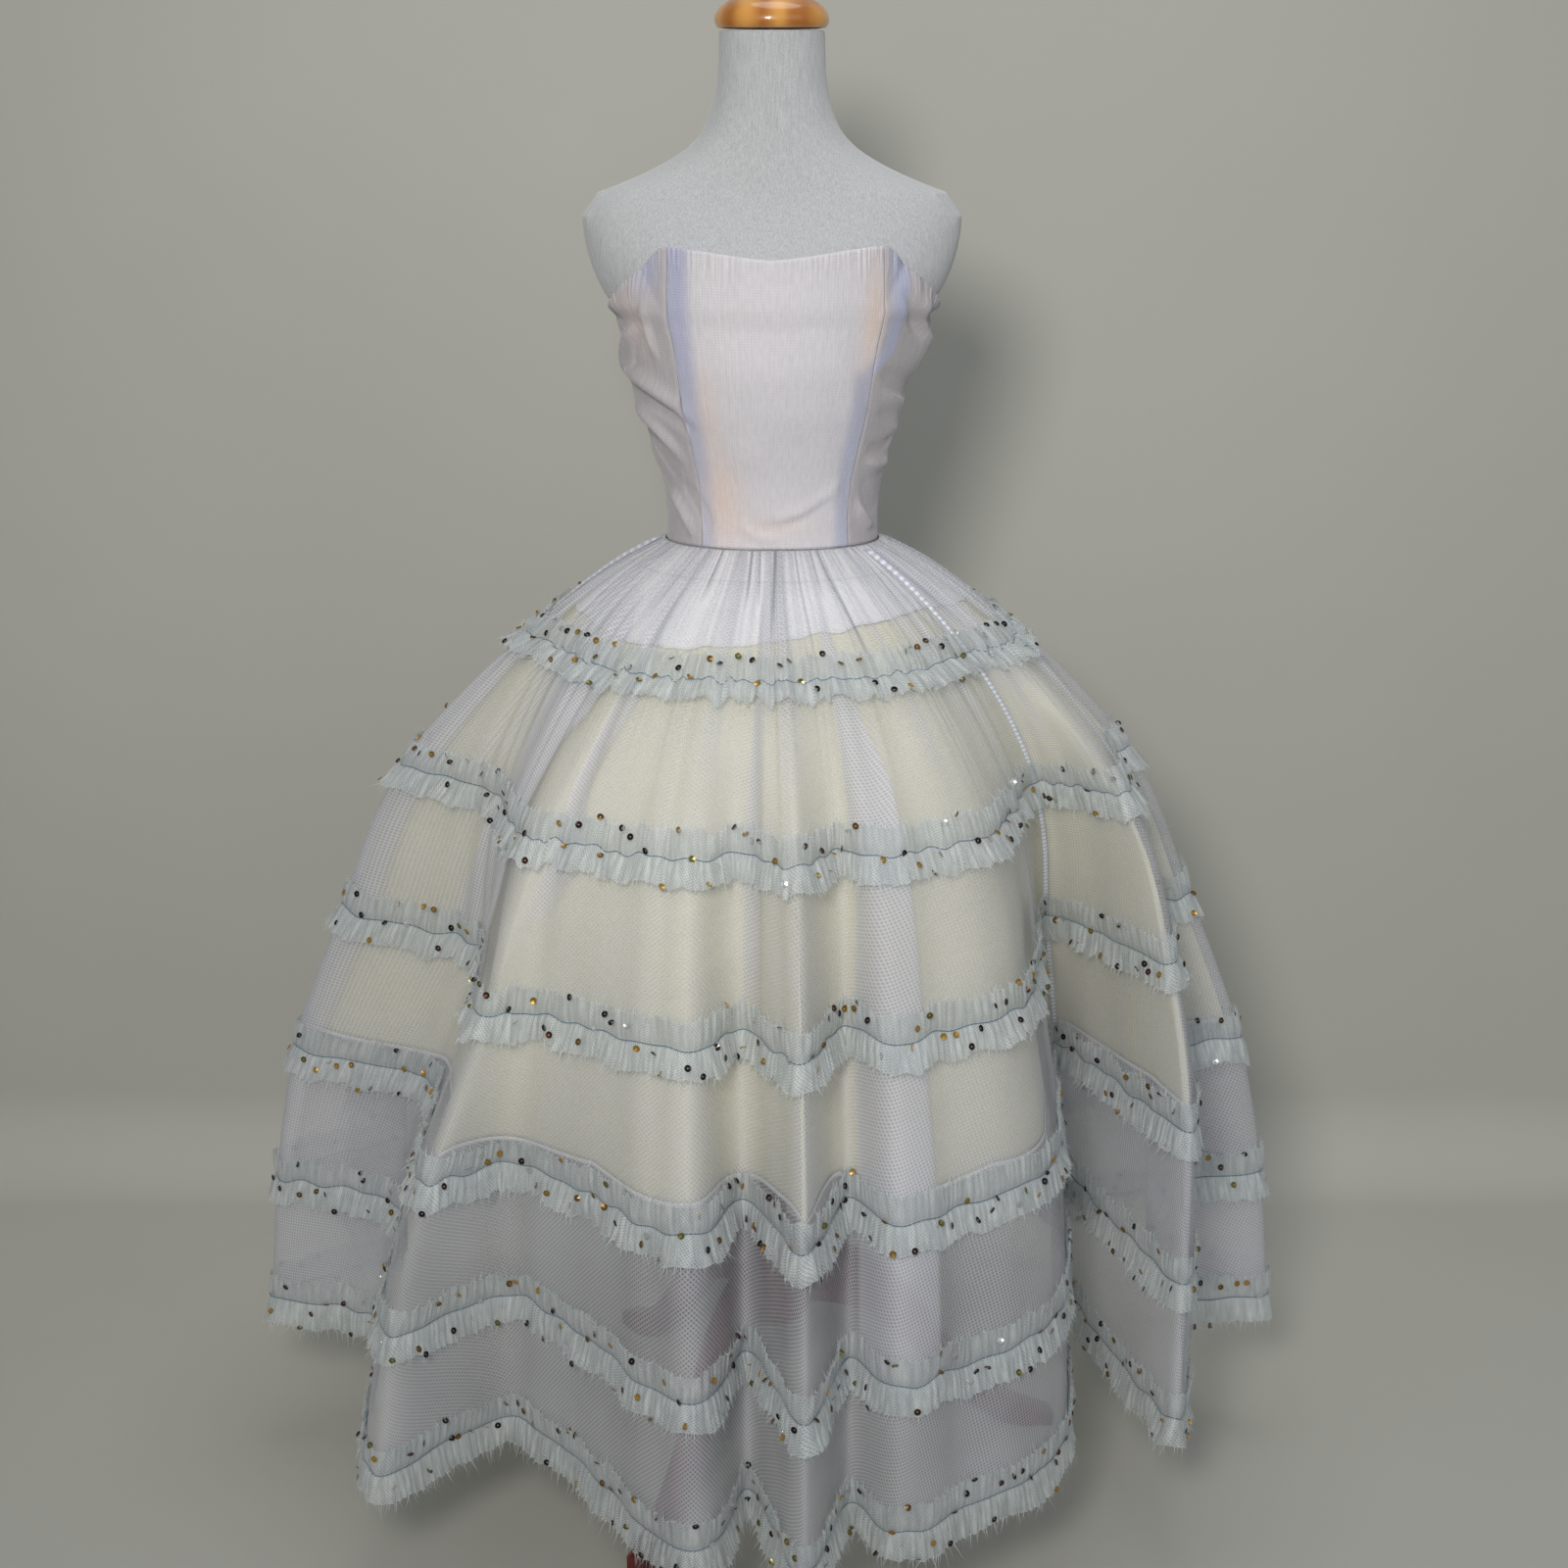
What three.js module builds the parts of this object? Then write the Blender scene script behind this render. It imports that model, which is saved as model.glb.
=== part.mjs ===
// A strapless prom dress on a limbless dress form with a three-legged wooden stand.
// Millimetres, +Z up, the front faces -Y. The origin is on the floor under the middle of the whole.
import * as THREE from 'three';

// Driving sizes
const waistHeight = 1040;
const seamGap = 0.3;
const clothWall = 1.6;
const waistWall = 1.2;
const bodiceWall = 1.5;
const waistEase = 3.9;
const hemRadius = 556;

// The skirt's folds, going round anticlockwise seen from above: where each fold's crest and the
// valley after it lie at the hem, and where they start at the waist, in degrees from the front.
const hemFolds = [
  { name: 'sideLeft', crestX: -566, crestY: -5, crestTurn: -84, valleyX: -436, valleyY: -72, valleyTurn: -66 },
  { name: 'frontLeft', crestX: -394, crestY: -385, crestTurn: -40, valleyX: -262, valleyY: -278, valleyTurn: -31 },
  { name: 'midLeft', crestX: -82, crestY: -522, crestTurn: -14, valleyX: -22, valleyY: -415, valleyTurn: -6 },
  { name: 'centre', crestX: 30, crestY: -560, crestTurn: 3, valleyX: 72, valleyY: -440, valleyTurn: 11 },
  { name: 'frontA', crestX: 122, crestY: -492, crestTurn: 16, valleyX: 172, valleyY: -458, valleyTurn: 22 },
  { name: 'frontB', crestX: 294, crestY: -322, crestTurn: 34, valleyX: 322, valleyY: 12, valleyTurn: 54 },
  { name: 'sideFlute', crestX: 412, crestY: -282, crestTurn: 75, valleyX: 458, valleyY: -40, valleyTurn: 92 },
  { name: 'sideRight', crestX: 556, crestY: 2, crestTurn: 102, valleyX: 440, valleyY: 118, valleyTurn: 114 },
  { name: 'backA', crestX: 478, crestY: 275, crestTurn: 126, valleyX: 330, valleyY: 232, valleyTurn: 138 },
  { name: 'backB', crestX: 330, crestY: 440, crestTurn: 152, valleyX: 205, valleyY: 345, valleyTurn: 164 },
  { name: 'backC', crestX: 95, crestY: 554, crestTurn: 180, valleyX: 20, valleyY: 425, valleyTurn: 191 },
  { name: 'backD', crestX: -130, crestY: 545, crestTurn: 205, valleyX: -190, valleyY: 390, valleyTurn: 217 },
  { name: 'backE', crestX: -355, crestY: 430, crestTurn: 229, valleyX: -345, valleyY: 285, valleyTurn: 240 },
  { name: 'backF', crestX: -520, crestY: 235, crestTurn: 253, valleyX: -430, valleyY: 105, valleyTurn: 264 },
];
// How far some folds are already pulled in or out at the third ring, half way down
const midPulls = [
  { name: 'sideLeft', crestX: 0, crestY: 0, valleyX: 78, valleyY: -44 },
  { name: 'frontLeft', crestX: 32, crestY: -6, valleyX: 0, valleyY: -55 },
  { name: 'centre', crestX: 4, crestY: -6, valleyX: -2, valleyY: 22 },
  { name: 'frontB', crestX: 0, crestY: 0, valleyX: -10, valleyY: 42 },
  { name: 'sideFlute', crestX: 28, crestY: -6, valleyX: 0, valleyY: 0 },
];
// The wall has a column at each crest and valley, and more between them about this far apart.
const columnSpacing = 70;

// The skirt's rows: drop below the waist, radius, how far the hem's folds reach into the row,
// the share of the middle pulls there, and the height of the small gathers.
const skirtRows = [
  { name: 'waist', drop: 0, radius: 110.5, foldShare: 0, pull: 0, gather: 0.6 },
  { name: 'gather', drop: 30, radius: 163, foldShare: 0.02, pull: 0.03, gather: 2.4 },
  { name: 'ring1', drop: 98, radius: 253, foldShare: 0.12, pull: 0.2, gather: 1 },
  { name: 'bulge1', drop: 165, radius: 325, foldShare: 0.26, pull: 0.45, gather: 0 },
  { name: 'ring2', drop: 238, radius: 387, foldShare: 0.42, pull: 0.7, gather: 0 },
  { name: 'bulge2', drop: 318, radius: 428, foldShare: 0.54, pull: 0.9, gather: 0 },
  { name: 'ring3', drop: 400, radius: 457, foldShare: 0.66, pull: 1, gather: 0 },
  { name: 'bulge3', drop: 480, radius: 488, foldShare: 0.76, pull: 0.92, gather: 0 },
  { name: 'ring4', drop: 561, radius: 515, foldShare: 0.85, pull: 0.7, gather: 0 },
  { name: 'ring5', drop: 717, radius: 543, foldShare: 0.96, pull: 0.3, gather: 0 },
  { name: 'hem', drop: 868, radius: hemRadius, foldShare: 1, pull: 0, gather: 0 },
];
// The overskirt's seams lie in these valleys, and each panel runs from one seam to the next.
const skirtPanels = [
  { name: 'skirt_front', from: 'backF', to: 'frontB' },
  { name: 'skirt_back_right', from: 'frontB', to: 'backC' },
  { name: 'skirt_back_left', from: 'backC', to: 'backF' },
];
const ruffleRows = ['ring1', 'ring2', 'ring3', 'ring4', 'ring5', 'hem'];
const ruffle = { halfWidth: 25, wall: 1.2, stitchClear: 0.5, edgeClear: 3.6, wave: 2.2, columnsPerWave: 3 };
const yoke = { drops: [0, 30, 56], wall: 1.2, clear: [0.3, 1.2, 2.5] };
const underskirt = {
  drops: [56.4, 98, 238, 318, 400, 545],
  wall: 1.4,
  clear: [2.5, 5, 8, 8, 8, 8],
  panels: [
    { name: 'underskirt_front', from: 'backF', to: 'sideRight' },
    { name: 'underskirt_back', from: 'sideRight', to: 'backF' },
  ],
};

// The dress form's level sections: half width, depth to the front and to the back of its axis
const formSections = [
  { z: 700, half: 128, front: 88, back: 100 },
  { z: 740, half: 150, front: 98, back: 112 },
  { z: 800, half: 168, front: 106, back: 124 },
  { z: 850, half: 172, front: 108, back: 126 },
  { z: 900, half: 165, front: 105, back: 118 },
  { z: 950, half: 148, front: 98, back: 102 },
  { z: 1000, half: 122, front: 88, back: 88 },
  { z: 1040, half: 106.8, front: 82, back: 80 },
  { z: 1065, half: 106.4, front: 84, back: 81 },
  { z: 1100, half: 109.5, front: 91, back: 84 },
  { z: 1140, half: 119, front: 103, back: 90 },
  { z: 1185, half: 131, front: 118, back: 96 },
  { z: 1230, half: 140, front: 127, back: 100 },
  { z: 1267, half: 150, front: 124, back: 102 },
  { z: 1281, half: 166, front: 116, back: 104 },
  { z: 1312, half: 182, front: 102, back: 104 },
  { z: 1341, half: 189.6, front: 88, back: 100 },
  { z: 1365, half: 191.6, front: 76, back: 92 },
  { z: 1388, half: 175.5, front: 66, back: 82 },
  { z: 1400, half: 142.5, front: 63, back: 76 },
  { z: 1415, half: 110, front: 60, back: 70 },
  { z: 1429, half: 86.6, front: 57, back: 64 },
  { z: 1443, half: 72.3, front: 55, back: 58 },
  { z: 1458, half: 63.4, front: 53, back: 55 },
  { z: 1488, half: 53.5, front: 51, back: 51 },
  { z: 1544, half: 52.7, front: 50, back: 50 },
];
const formRoundness = 2.2;

// The bodice's panels, as angles from the middle of the front, with the columns across each one
const bodicePanels = [
  { name: 'bodice_front', from: -43, to: 43, columns: 9 },
  { name: 'bodice_side_right', from: 43, to: 92, columns: 6 },
  { name: 'bodice_back_right', from: 92, to: 180, columns: 9 },
  { name: 'bodice_back_left', from: 180, to: 268, columns: 9 },
  { name: 'bodice_side_left', from: 268, to: 317, columns: 6 },
];
const bodiceLevels = [1040, 1065, 1100, 1140, 1185, 1230];
const bodiceUpperSteps = [0.4, 0.75, 1];
const bustTop = 1262;
// The bodice's top edge, and how far its cloth stands off the form at each level
const topEdge = [
  { angle: 0, z: 1330 },
  { angle: 43, z: 1342 },
  { angle: 55, z: 1320 },
  { angle: 67, z: 1294 },
  { angle: 80, z: 1276 },
  { angle: 92, z: 1268 },
  { angle: 135, z: 1262 },
  { angle: 225, z: 1262 },
  { angle: 268, z: 1262 },
  { angle: 281, z: 1270 },
  { angle: 293, z: 1288 },
  { angle: 305, z: 1316 },
  { angle: 317, z: 1342 },
  { angle: 360, z: 1330 },
];
const bodiceEase = [
  { z: 1040, ease: 1.4 },
  { z: 1065, ease: 1 },
  { z: 1100, ease: 1 },
  { z: 1140, ease: 2 },
  { z: 1185, ease: 3.4 },
  { z: 1230, ease: 3 },
  { z: 1262, ease: 4.5 },
  { z: 1285, ease: 7.5 },
  { z: 1350, ease: 6 },
];
// Loose creases and puffs of the bodice: middle, half width round and up, and height
const bodicePuffs = [
  { name: 'rightPuff', angle: 86, z: 1238, widthAngle: 17, widthZ: 26, height: 14 },
  { name: 'rightLower', angle: 74, z: 1165, widthAngle: 12, widthZ: 20, height: 4 },
  { name: 'leftSide', angle: 274, z: 1212, widthAngle: 22, widthZ: 46, height: 7 },
  { name: 'leftCrease', angle: 298, z: 1180, widthAngle: 11, widthZ: 22, height: 4 },
  { name: 'leftWaist', angle: 282, z: 1128, widthAngle: 14, widthZ: 18, height: 4 },
  { name: 'frontCrease', angle: 352, z: 1140, widthAngle: 9, widthZ: 20, height: 2.5 },
  { name: 'backFold', angle: 150, z: 1120, widthAngle: 14, widthZ: 22, height: 4 },
  { name: 'backFoldLeft', angle: 214, z: 1105, widthAngle: 14, widthZ: 20, height: 4 },
];
const placket = { halfAngle: 9, wall: 1.2, clear: 0.35, columns: 2 };

// The stand
const cap = { radius: 57, bottom: 1544, rimHeight: 9, height: 36, segments: 40 };
const board = { bottom: 690, top: 700, inset: 5 };
const post = { radius: 15, sides: 28 };
const hub = { bottom: 150, top: 262, radius: 40, sides: 36 };
const leg = { width: 24, count: 3, firstAzimuth: -26, step: 120, footIn: 284, footOut: 322 };

const colours = {
  overskirt: '#cfd6e6',
  ruffle: '#bfd0d8',
  yoke: '#f1f1f4',
  underskirt: '#e6e5d2',
  bodice: '#d9d3dc',
  form: '#c9cccf',
  cap: '#c98e3c',
  stand: '#5a1f18',
};

const dress = new THREE.Group();

function addPiece(name, geometry, colour, roughness = 0.85) {
  const material = new THREE.MeshStandardMaterial({ color: colour, roughness, metalness: 0 });
  const mesh = new THREE.Mesh(geometry, material);
  mesh.name = name;
  dress.add(mesh);
  return mesh;
}

// A triangle soup is gathered corner by corner, then turned into one indexed geometry.
function meshFrom(points, triangles) {
  const geometry = new THREE.BufferGeometry();
  geometry.setAttribute('position', new THREE.Float32BufferAttribute(points.flatMap((p) => [p.x, p.y, p.z]), 3));
  geometry.setIndex(triangles.flat());
  geometry.computeVertexNormals();
  return geometry;
}

// One value read from a table between its rows, on a smooth curve through them
function smoothValue(table, position, key, value) {
  const last = table.length - 1;
  if (value <= table[0][position]) return table[0][key];
  if (value >= table[last][position]) return table[last][key];
  const next = table.findIndex((row) => row[position] >= value);
  const row = (i) => table[THREE.MathUtils.clamp(i, 0, last)];
  const [a, b] = [row(next - 1), row(next)];
  const slope = (p, q) => (q[key] - p[key]) / Math.max(q[position] - p[position], 1e-6);
  const inner = slope(a, b);
  const limit = (other) => (other * inner <= 0 ? 0 : (2 * other * inner) / (other + inner));
  const slopeA = next - 1 === 0 ? inner : limit(slope(row(next - 2), a));
  const slopeB = next === last ? inner : limit(slope(b, row(next + 1)));
  const span = b[position] - a[position];
  const t = (value - a[position]) / span;
  const h = [2 * t ** 3 - 3 * t ** 2 + 1, t ** 3 - 2 * t ** 2 + t, -2 * t ** 3 + 3 * t ** 2, t ** 3 - t ** 2];
  return h[0] * a[key] + h[1] * slopeA * span + h[2] * b[key] + h[3] * slopeB * span;
}

// A wall between an outer and an inner grid of points, rows from top to bottom and columns
// anticlockwise seen from above. Each square is split along the diagonal that lies further in,
// so that what is laid over the wall stays clear of it.
function wallGeometry(outer, inner, closed) {
  const rows = outer.length;
  const columns = outer[0].length;
  const points = [...outer.flat(), ...inner.flat()];
  const innerStart = rows * columns;
  const at = (row, column) => row * columns + (column % columns);
  const triangles = [];
  const square = (a, b, c, d, split) => {
    if (split) triangles.push([a, b, d], [b, c, d]);
    else triangles.push([a, b, c], [a, c, d]);
  };
  const spans = closed ? columns : columns - 1;
  for (let row = 0; row < rows - 1; row += 1) {
    for (let column = 0; column < spans; column += 1) {
      const [a, b, c, d] = [at(row, column), at(row + 1, column), at(row + 1, column + 1), at(row, column + 1)];
      const acrossA = points[c].clone().sub(points[a]);
      const acrossB = points[d].clone().sub(points[b]);
      const outwards = acrossA.clone().cross(acrossB);
      const middleA = points[a].clone().add(points[c]).multiplyScalar(0.5);
      const middleB = points[b].clone().add(points[d]).multiplyScalar(0.5);
      const split = middleB.sub(middleA).dot(outwards) < 0;
      square(a, b, c, d, split);
      if (split) triangles.push([a, d, b].map((i) => i + innerStart), [b, d, c].map((i) => i + innerStart));
      else triangles.push([a, c, b].map((i) => i + innerStart), [a, d, c].map((i) => i + innerStart));
    }
  }
  for (let column = 0; column < spans; column += 1) {
    const [a, b] = [at(0, column), at(0, column + 1)];
    const [c, d] = [at(rows - 1, column), at(rows - 1, column + 1)];
    triangles.push([a, b, b + innerStart], [a, b + innerStart, a + innerStart]);
    triangles.push([c, d + innerStart, d], [c, c + innerStart, d + innerStart]);
  }
  if (!closed) {
    for (let row = 0; row < rows - 1; row += 1) {
      const [a, b] = [at(row, 0), at(row + 1, 0)];
      const [c, d] = [at(row, columns - 1), at(row + 1, columns - 1)];
      triangles.push([a, b + innerStart, b], [a, a + innerStart, b + innerStart]);
      triangles.push([c, d, d + innerStart], [c, d + innerStart, c + innerStart]);
    }
  }
  return meshFrom(points, triangles);
}

// A closed band. Each column's section runs along the inner face and back along the outer one, and
// both faces are split along the same diagonal, the one that lies further out.
function bandGeometry(sections) {
  const corners = sections[0].length;
  const points = sections.flat();
  const triangles = [];
  for (let column = 0; column < sections.length; column += 1) {
    const next = (column + 1) % sections.length;
    const between = (one, other) => sections[column][one].clone().add(sections[next][other]);
    const outwards = sections[column][corners - 1].clone().sub(sections[column][0]);
    for (let corner = 0; corner < corners; corner += 1) {
      const onInner = corner < corners / 2 - 1;
      const strip = onInner ? corner : Math.max(corners - 2 - corner, 0);
      const rising = between(strip, strip + 1).sub(between(strip + 1, strip)).dot(outwards) > 0;
      const a = column * corners + corner;
      const b = column * corners + ((corner + 1) % corners);
      const c = next * corners + ((corner + 1) % corners);
      const d = next * corners + corner;
      if (rising === onInner) triangles.push([a, c, b], [a, d, c]);
      else triangles.push([a, d, b], [b, d, c]);
    }
  }
  return meshFrom(points, triangles);
}

// Level rings stacked from bottom to top, closed by a fan at each end
function stackGeometry(rings) {
  const columns = rings[0].length;
  const points = rings.flat();
  const triangles = [];
  for (let row = 0; row < rings.length - 1; row += 1) {
    for (let column = 0; column < columns; column += 1) {
      const next = (column + 1) % columns;
      const [a, b] = [row * columns + column, row * columns + next];
      triangles.push([a, b, b + columns], [a, b + columns, a + columns]);
    }
  }
  for (const [ring, upwards] of [[0, false], [rings.length - 1, true]]) {
    const middle = points.length;
    const centre = new THREE.Vector3();
    rings[ring].forEach((p) => centre.add(p));
    points.push(centre.divideScalar(columns));
    for (let column = 0; column < columns; column += 1) {
      const [a, b] = [ring * columns + column, ring * columns + ((column + 1) % columns)];
      triangles.push(upwards ? [a, b, middle] : [b, a, middle]);
    }
  }
  return meshFrom(points, triangles);
}

// Each value of the fold tables at a place u, 2 i at fold i's crest and 2 i + 1 at its valley,
// on a smooth curve through the crests and valleys
const pullOf = (name) => midPulls.find((pull) => pull.name === name)
  ?? { crestX: 0, crestY: 0, valleyX: 0, valleyY: 0 };
const foldPoints = hemFolds.flatMap((fold) => {
  const pull = pullOf(fold.name);
  return [
    { x: fold.crestX, y: fold.crestY, turn: fold.crestTurn, pullX: pull.crestX, pullY: pull.crestY },
    { x: fold.valleyX, y: fold.valleyY, turn: fold.valleyTurn, pullX: pull.valleyX, pullY: pull.valleyY },
  ];
});

function foldValue(key, u) {
  const count = foldPoints.length;
  const i = Math.floor(u);
  const t = u - i;
  const fullTurn = (step) => (key === 'turn' ? 360 * Math.floor((i + step) / count) : 0);
  const value = (step) => foldPoints[(i + step + count) % count][key] + fullTurn(step);
  const [p, q, r, s] = [-1, 0, 1, 2].map(value);
  return 0.5 * (2 * q + (r - p) * t + (2 * p - 5 * q + 4 * r - s) * t ** 2 + (3 * q - p - 3 * r + s) * t ** 3);
}

// The columns: places along the fold curve, about evenly spaced along the hem
const foldIndex = (name) => hemFolds.findIndex((fold) => fold.name === name);
const hemAt = (u) => new THREE.Vector2(foldValue('x', u), foldValue('y', u));

function hemStretch(from) {
  const pieces = 20;
  const marks = Array.from({ length: pieces + 1 }, (_, i) => hemAt(from + i / pieces));
  return marks.slice(1).reduce((sum, mark, i) => sum + mark.distanceTo(marks[i]), 0);
}

const skirtColumns = foldPoints.flatMap((_, i) => {
  const steps = Math.max(2, Math.round(hemStretch(i) / columnSpacing));
  return Array.from({ length: steps }, (__, step) => {
    const place = i + step / steps;
    return {
      place,
      hem: hemAt(place),
      pull: new THREE.Vector2(foldValue('pullX', place), foldValue('pullY', place)),
      angle: THREE.MathUtils.degToRad(foldValue('turn', place)),
    };
  });
});
const columnCount = skirtColumns.length;

// The skirt's cloth line before any wall is added, for one row of the table
function skirtRing(row) {
  const plain = (1 - row.foldShare) * row.radius;
  const folded = (row.foldShare * row.radius) / hemRadius;
  return skirtColumns.map(({ hem, pull, angle }) => new THREE.Vector3(
    plain * Math.sin(angle) + folded * hem.x + row.pull * pull.x,
    -plain * Math.cos(angle) + folded * hem.y + row.pull * pull.y,
    waistHeight - seamGap - row.drop,
  ));
}

// The waist ring follows the form, so that the gathers sit on it.
function waistRing(ease) {
  return skirtColumns.map(({ angle }) => formPoint(waistHeight, angle, ease, waistHeight - seamGap));
}

// Outward directions of a grid of points, level in its first row
function outwardNormals(grid) {
  const columns = grid[0].length;
  return grid.map((ring, row) => ring.map((point, column) => {
    const next = ring[(column + 1) % columns].clone().sub(point).normalize();
    const before = point.clone().sub(ring[(column + columns - 1) % columns]).normalize();
    const along = next.add(before);
    const above = grid[Math.max(row - 1, 0)][column];
    const below = grid[Math.min(row + 1, grid.length - 1)][column];
    const down = below.clone().sub(above);
    if (row === 0) down.set(0, 0, -1);
    return down.cross(along).normalize();
  }));
}

function moved(grid, normals, distance) {
  return grid.map((ring, row) => ring.map((point, column) => {
    const far = typeof distance === 'function' ? distance(row, column) : distance;
    return point.clone().addScaledVector(normals[row][column], far);
  }));
}

function formPoint(z, angle, ease = 0, height = z) {
  const read = (key) => smoothValue(formSections, 'z', key, z);
  const [sine, cosine] = [Math.sin(angle), Math.cos(angle)];
  const power = 2 / formRoundness;
  const depth = (cosine > 0 ? read('front') : read('back')) + ease;
  return new THREE.Vector3(
    (read('half') + ease) * Math.sign(sine) * Math.abs(sine) ** power,
    -depth * Math.sign(cosine) * Math.abs(cosine) ** power,
    height,
  );
}

// Columns from one seam's valley to the next, with the seam's gap left between neighbours
function panelColumns(from, to) {
  const columnOf = (name) => skirtColumns.findIndex(({ place }) => place === 2 * foldIndex(name) + 1);
  const [first, last] = [columnOf(from), columnOf(to)];
  const count = ((last - first + columnCount) % columnCount) + 1;
  return Array.from({ length: count }, (_, i) => (first + i) % columnCount);
}

function panelGrid(grid, columns) {
  return grid.map((ring) => {
    const cut = columns.map((column) => ring[column].clone());
    const pull = (end, inwards) => {
      const back = inwards.clone().sub(end);
      return end.add(back.setLength(seamGap / 2));
    };
    pull(cut[0], cut[1]);
    pull(cut[cut.length - 1], cut[cut.length - 2]);
    return cut;
  });
}

const skirtBase = skirtRows.map((row, i) => (i === 0 ? waistRing(waistEase) : skirtRing(row)));
const skirtNormals = outwardNormals(skirtBase);

function overskirt() {
  const wave = (column) => (column % ruffle.columnsPerWave === 0 ? 1 : -0.3);
  const outer = moved(skirtBase, skirtNormals, (row, column) => skirtRows[row].gather * wave(column));
  const thickness = (row) => (row === 0 ? waistWall : clothWall);
  const inner = moved(skirtBase, skirtNormals, (row) => -thickness(row));
  for (const panel of skirtPanels) {
    const columns = panelColumns(panel.from, panel.to);
    const geometry = wallGeometry(panelGrid(outer, columns), panelGrid(inner, columns), false);
    addPiece(panel.name, geometry, colours.overskirt);
  }
}

// The skirt's points, or its outward directions, read at other drops between its rows
function between(grid, drops) {
  return drops.map((drop) => {
    const next = Math.max(1, skirtRows.findIndex((row) => row.drop >= drop));
    const share = (drop - skirtRows[next - 1].drop) / (skirtRows[next].drop - skirtRows[next - 1].drop);
    return grid[next - 1].map((value, column) => value.clone().lerp(grid[next][column], share));
  });
}

function layerUnder(drops, clear, wall) {
  const base = between(skirtBase, drops);
  const normals = between(skirtNormals, drops);
  const start = (row) => (drops[row] === 0 ? waistWall : clothWall) + clear[row];
  return {
    outer: moved(base, normals, (row) => -start(row)),
    inner: moved(base, normals, (row) => -start(row) - wall),
  };
}

function underskirtPieces() {
  const top = layerUnder(yoke.drops, yoke.clear, yoke.wall);
  addPiece('underskirt_yoke', wallGeometry(top.outer, top.inner, true), colours.yoke);
  const body = layerUnder(underskirt.drops, underskirt.clear, underskirt.wall);
  for (const panel of underskirt.panels) {
    const columns = panelColumns(panel.from, panel.to);
    const geometry = wallGeometry(panelGrid(body.outer, columns), panelGrid(body.inner, columns), false);
    addPiece(panel.name, geometry, colours.underskirt);
  }
}

// Each ruffle is stitched down along its middle, and its two frills stand off the skirt in waves.
function ruffles() {
  ruffleRows.forEach((name, index) => {
    const row = skirtRows.findIndex((entry) => entry.name === name);
    const lower = Math.min(row + 1, skirtRows.length - 1);
    const sections = skirtBase[row].map((middle, column) => {
      const out = skirtNormals[row][column];
      const up = skirtBase[row - 1][column].clone().sub(middle).setLength(ruffle.halfWidth);
      const down = lower === row ? up.clone().negate()
        : skirtBase[lower][column].clone().sub(middle).setLength(ruffle.halfWidth);
      const wave = column % ruffle.columnsPerWave === 0 ? ruffle.wave : -ruffle.wave / 2;
      const gather = skirtRows[row].gather;
      const at = (along, clear) => middle.clone().add(along).addScaledVector(out, clear + gather);
      const flat = new THREE.Vector3();
      const [stitch, edge] = [ruffle.stitchClear, ruffle.edgeClear + ruffle.wave / 2 + wave];
      return [
        at(up, edge), at(flat, stitch), at(down, edge),
        at(down, edge + ruffle.wall), at(flat, stitch + ruffle.wall), at(up, edge + ruffle.wall),
      ];
    });
    addPiece(`ruffle_${index + 1}`, bandGeometry(sections), colours.ruffle, 0.9);
  });
}

function puffHeight(degrees, z) {
  return bodicePuffs.reduce((sum, puff) => {
    const turn = (degrees - puff.angle) / puff.widthAngle;
    const rise = (z - puff.z) / puff.widthZ;
    return sum + puff.height * Math.exp(-turn * turn - rise * rise);
  }, 0);
}

function bodicePoint(degrees, level, extra) {
  const angle = THREE.MathUtils.degToRad(degrees);
  const top = smoothValue(topEdge, 'angle', 'z', (degrees + 360) % 360);
  const lastLevel = bodiceLevels[bodiceLevels.length - 1];
  const z = level < bodiceLevels.length ? bodiceLevels[level]
    : lastLevel + (top - lastLevel) * bodiceUpperSteps[level - bodiceLevels.length];
  const ease = smoothValue(bodiceEase, 'z', 'ease', z) + extra;
  const onForm = formPoint(Math.min(z, bustTop), angle, ease + puffHeight(degrees, z), z);
  return clearOfForm(onForm, ease);
}

// A point above the bust is pushed out where the form's shoulder reaches further than the cloth.
function clearOfForm(point, ease) {
  const read = (key) => smoothValue(formSections, 'z', key, point.z) + ease;
  const depth = point.y < 0 ? read('front') : read('back');
  const reach = (Math.abs(point.x) / read('half')) ** formRoundness + (Math.abs(point.y) / depth) ** formRoundness;
  const push = Math.max(1, reach ** (-1 / formRoundness));
  return new THREE.Vector3(point.x * push, point.y * push, point.z);
}

function bodiceGrid(from, to, columns, extra) {
  const levels = bodiceLevels.length + bodiceUpperSteps.length;
  return Array.from({ length: levels }, (_, i) => levels - 1 - i).map((level) => {
    const radius = 120;
    const gapAngle = THREE.MathUtils.radToDeg(seamGap / 2 / radius);
    return Array.from({ length: columns + 1 }, (_, column) => {
      const pulled = column === 0 ? gapAngle : column === columns ? -gapAngle : 0;
      return bodicePoint(from + ((to - from) * column) / columns + pulled, level, extra);
    });
  });
}

function bodice() {
  for (const panel of bodicePanels) {
    const outer = bodiceGrid(panel.from, panel.to, panel.columns, bodiceWall);
    const inner = bodiceGrid(panel.from, panel.to, panel.columns, 0);
    addPiece(panel.name, wallGeometry(outer, inner, false), colours.bodice);
  }
  const [from, to] = [180 - placket.halfAngle, 180 + placket.halfAngle];
  const under = bodiceWall + placket.clear;
  const outer = bodiceGrid(from, to, placket.columns, under + placket.wall);
  const inner = bodiceGrid(from, to, placket.columns, under);
  addPiece('back_placket', wallGeometry(outer, inner, false), colours.bodice);
}

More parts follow.
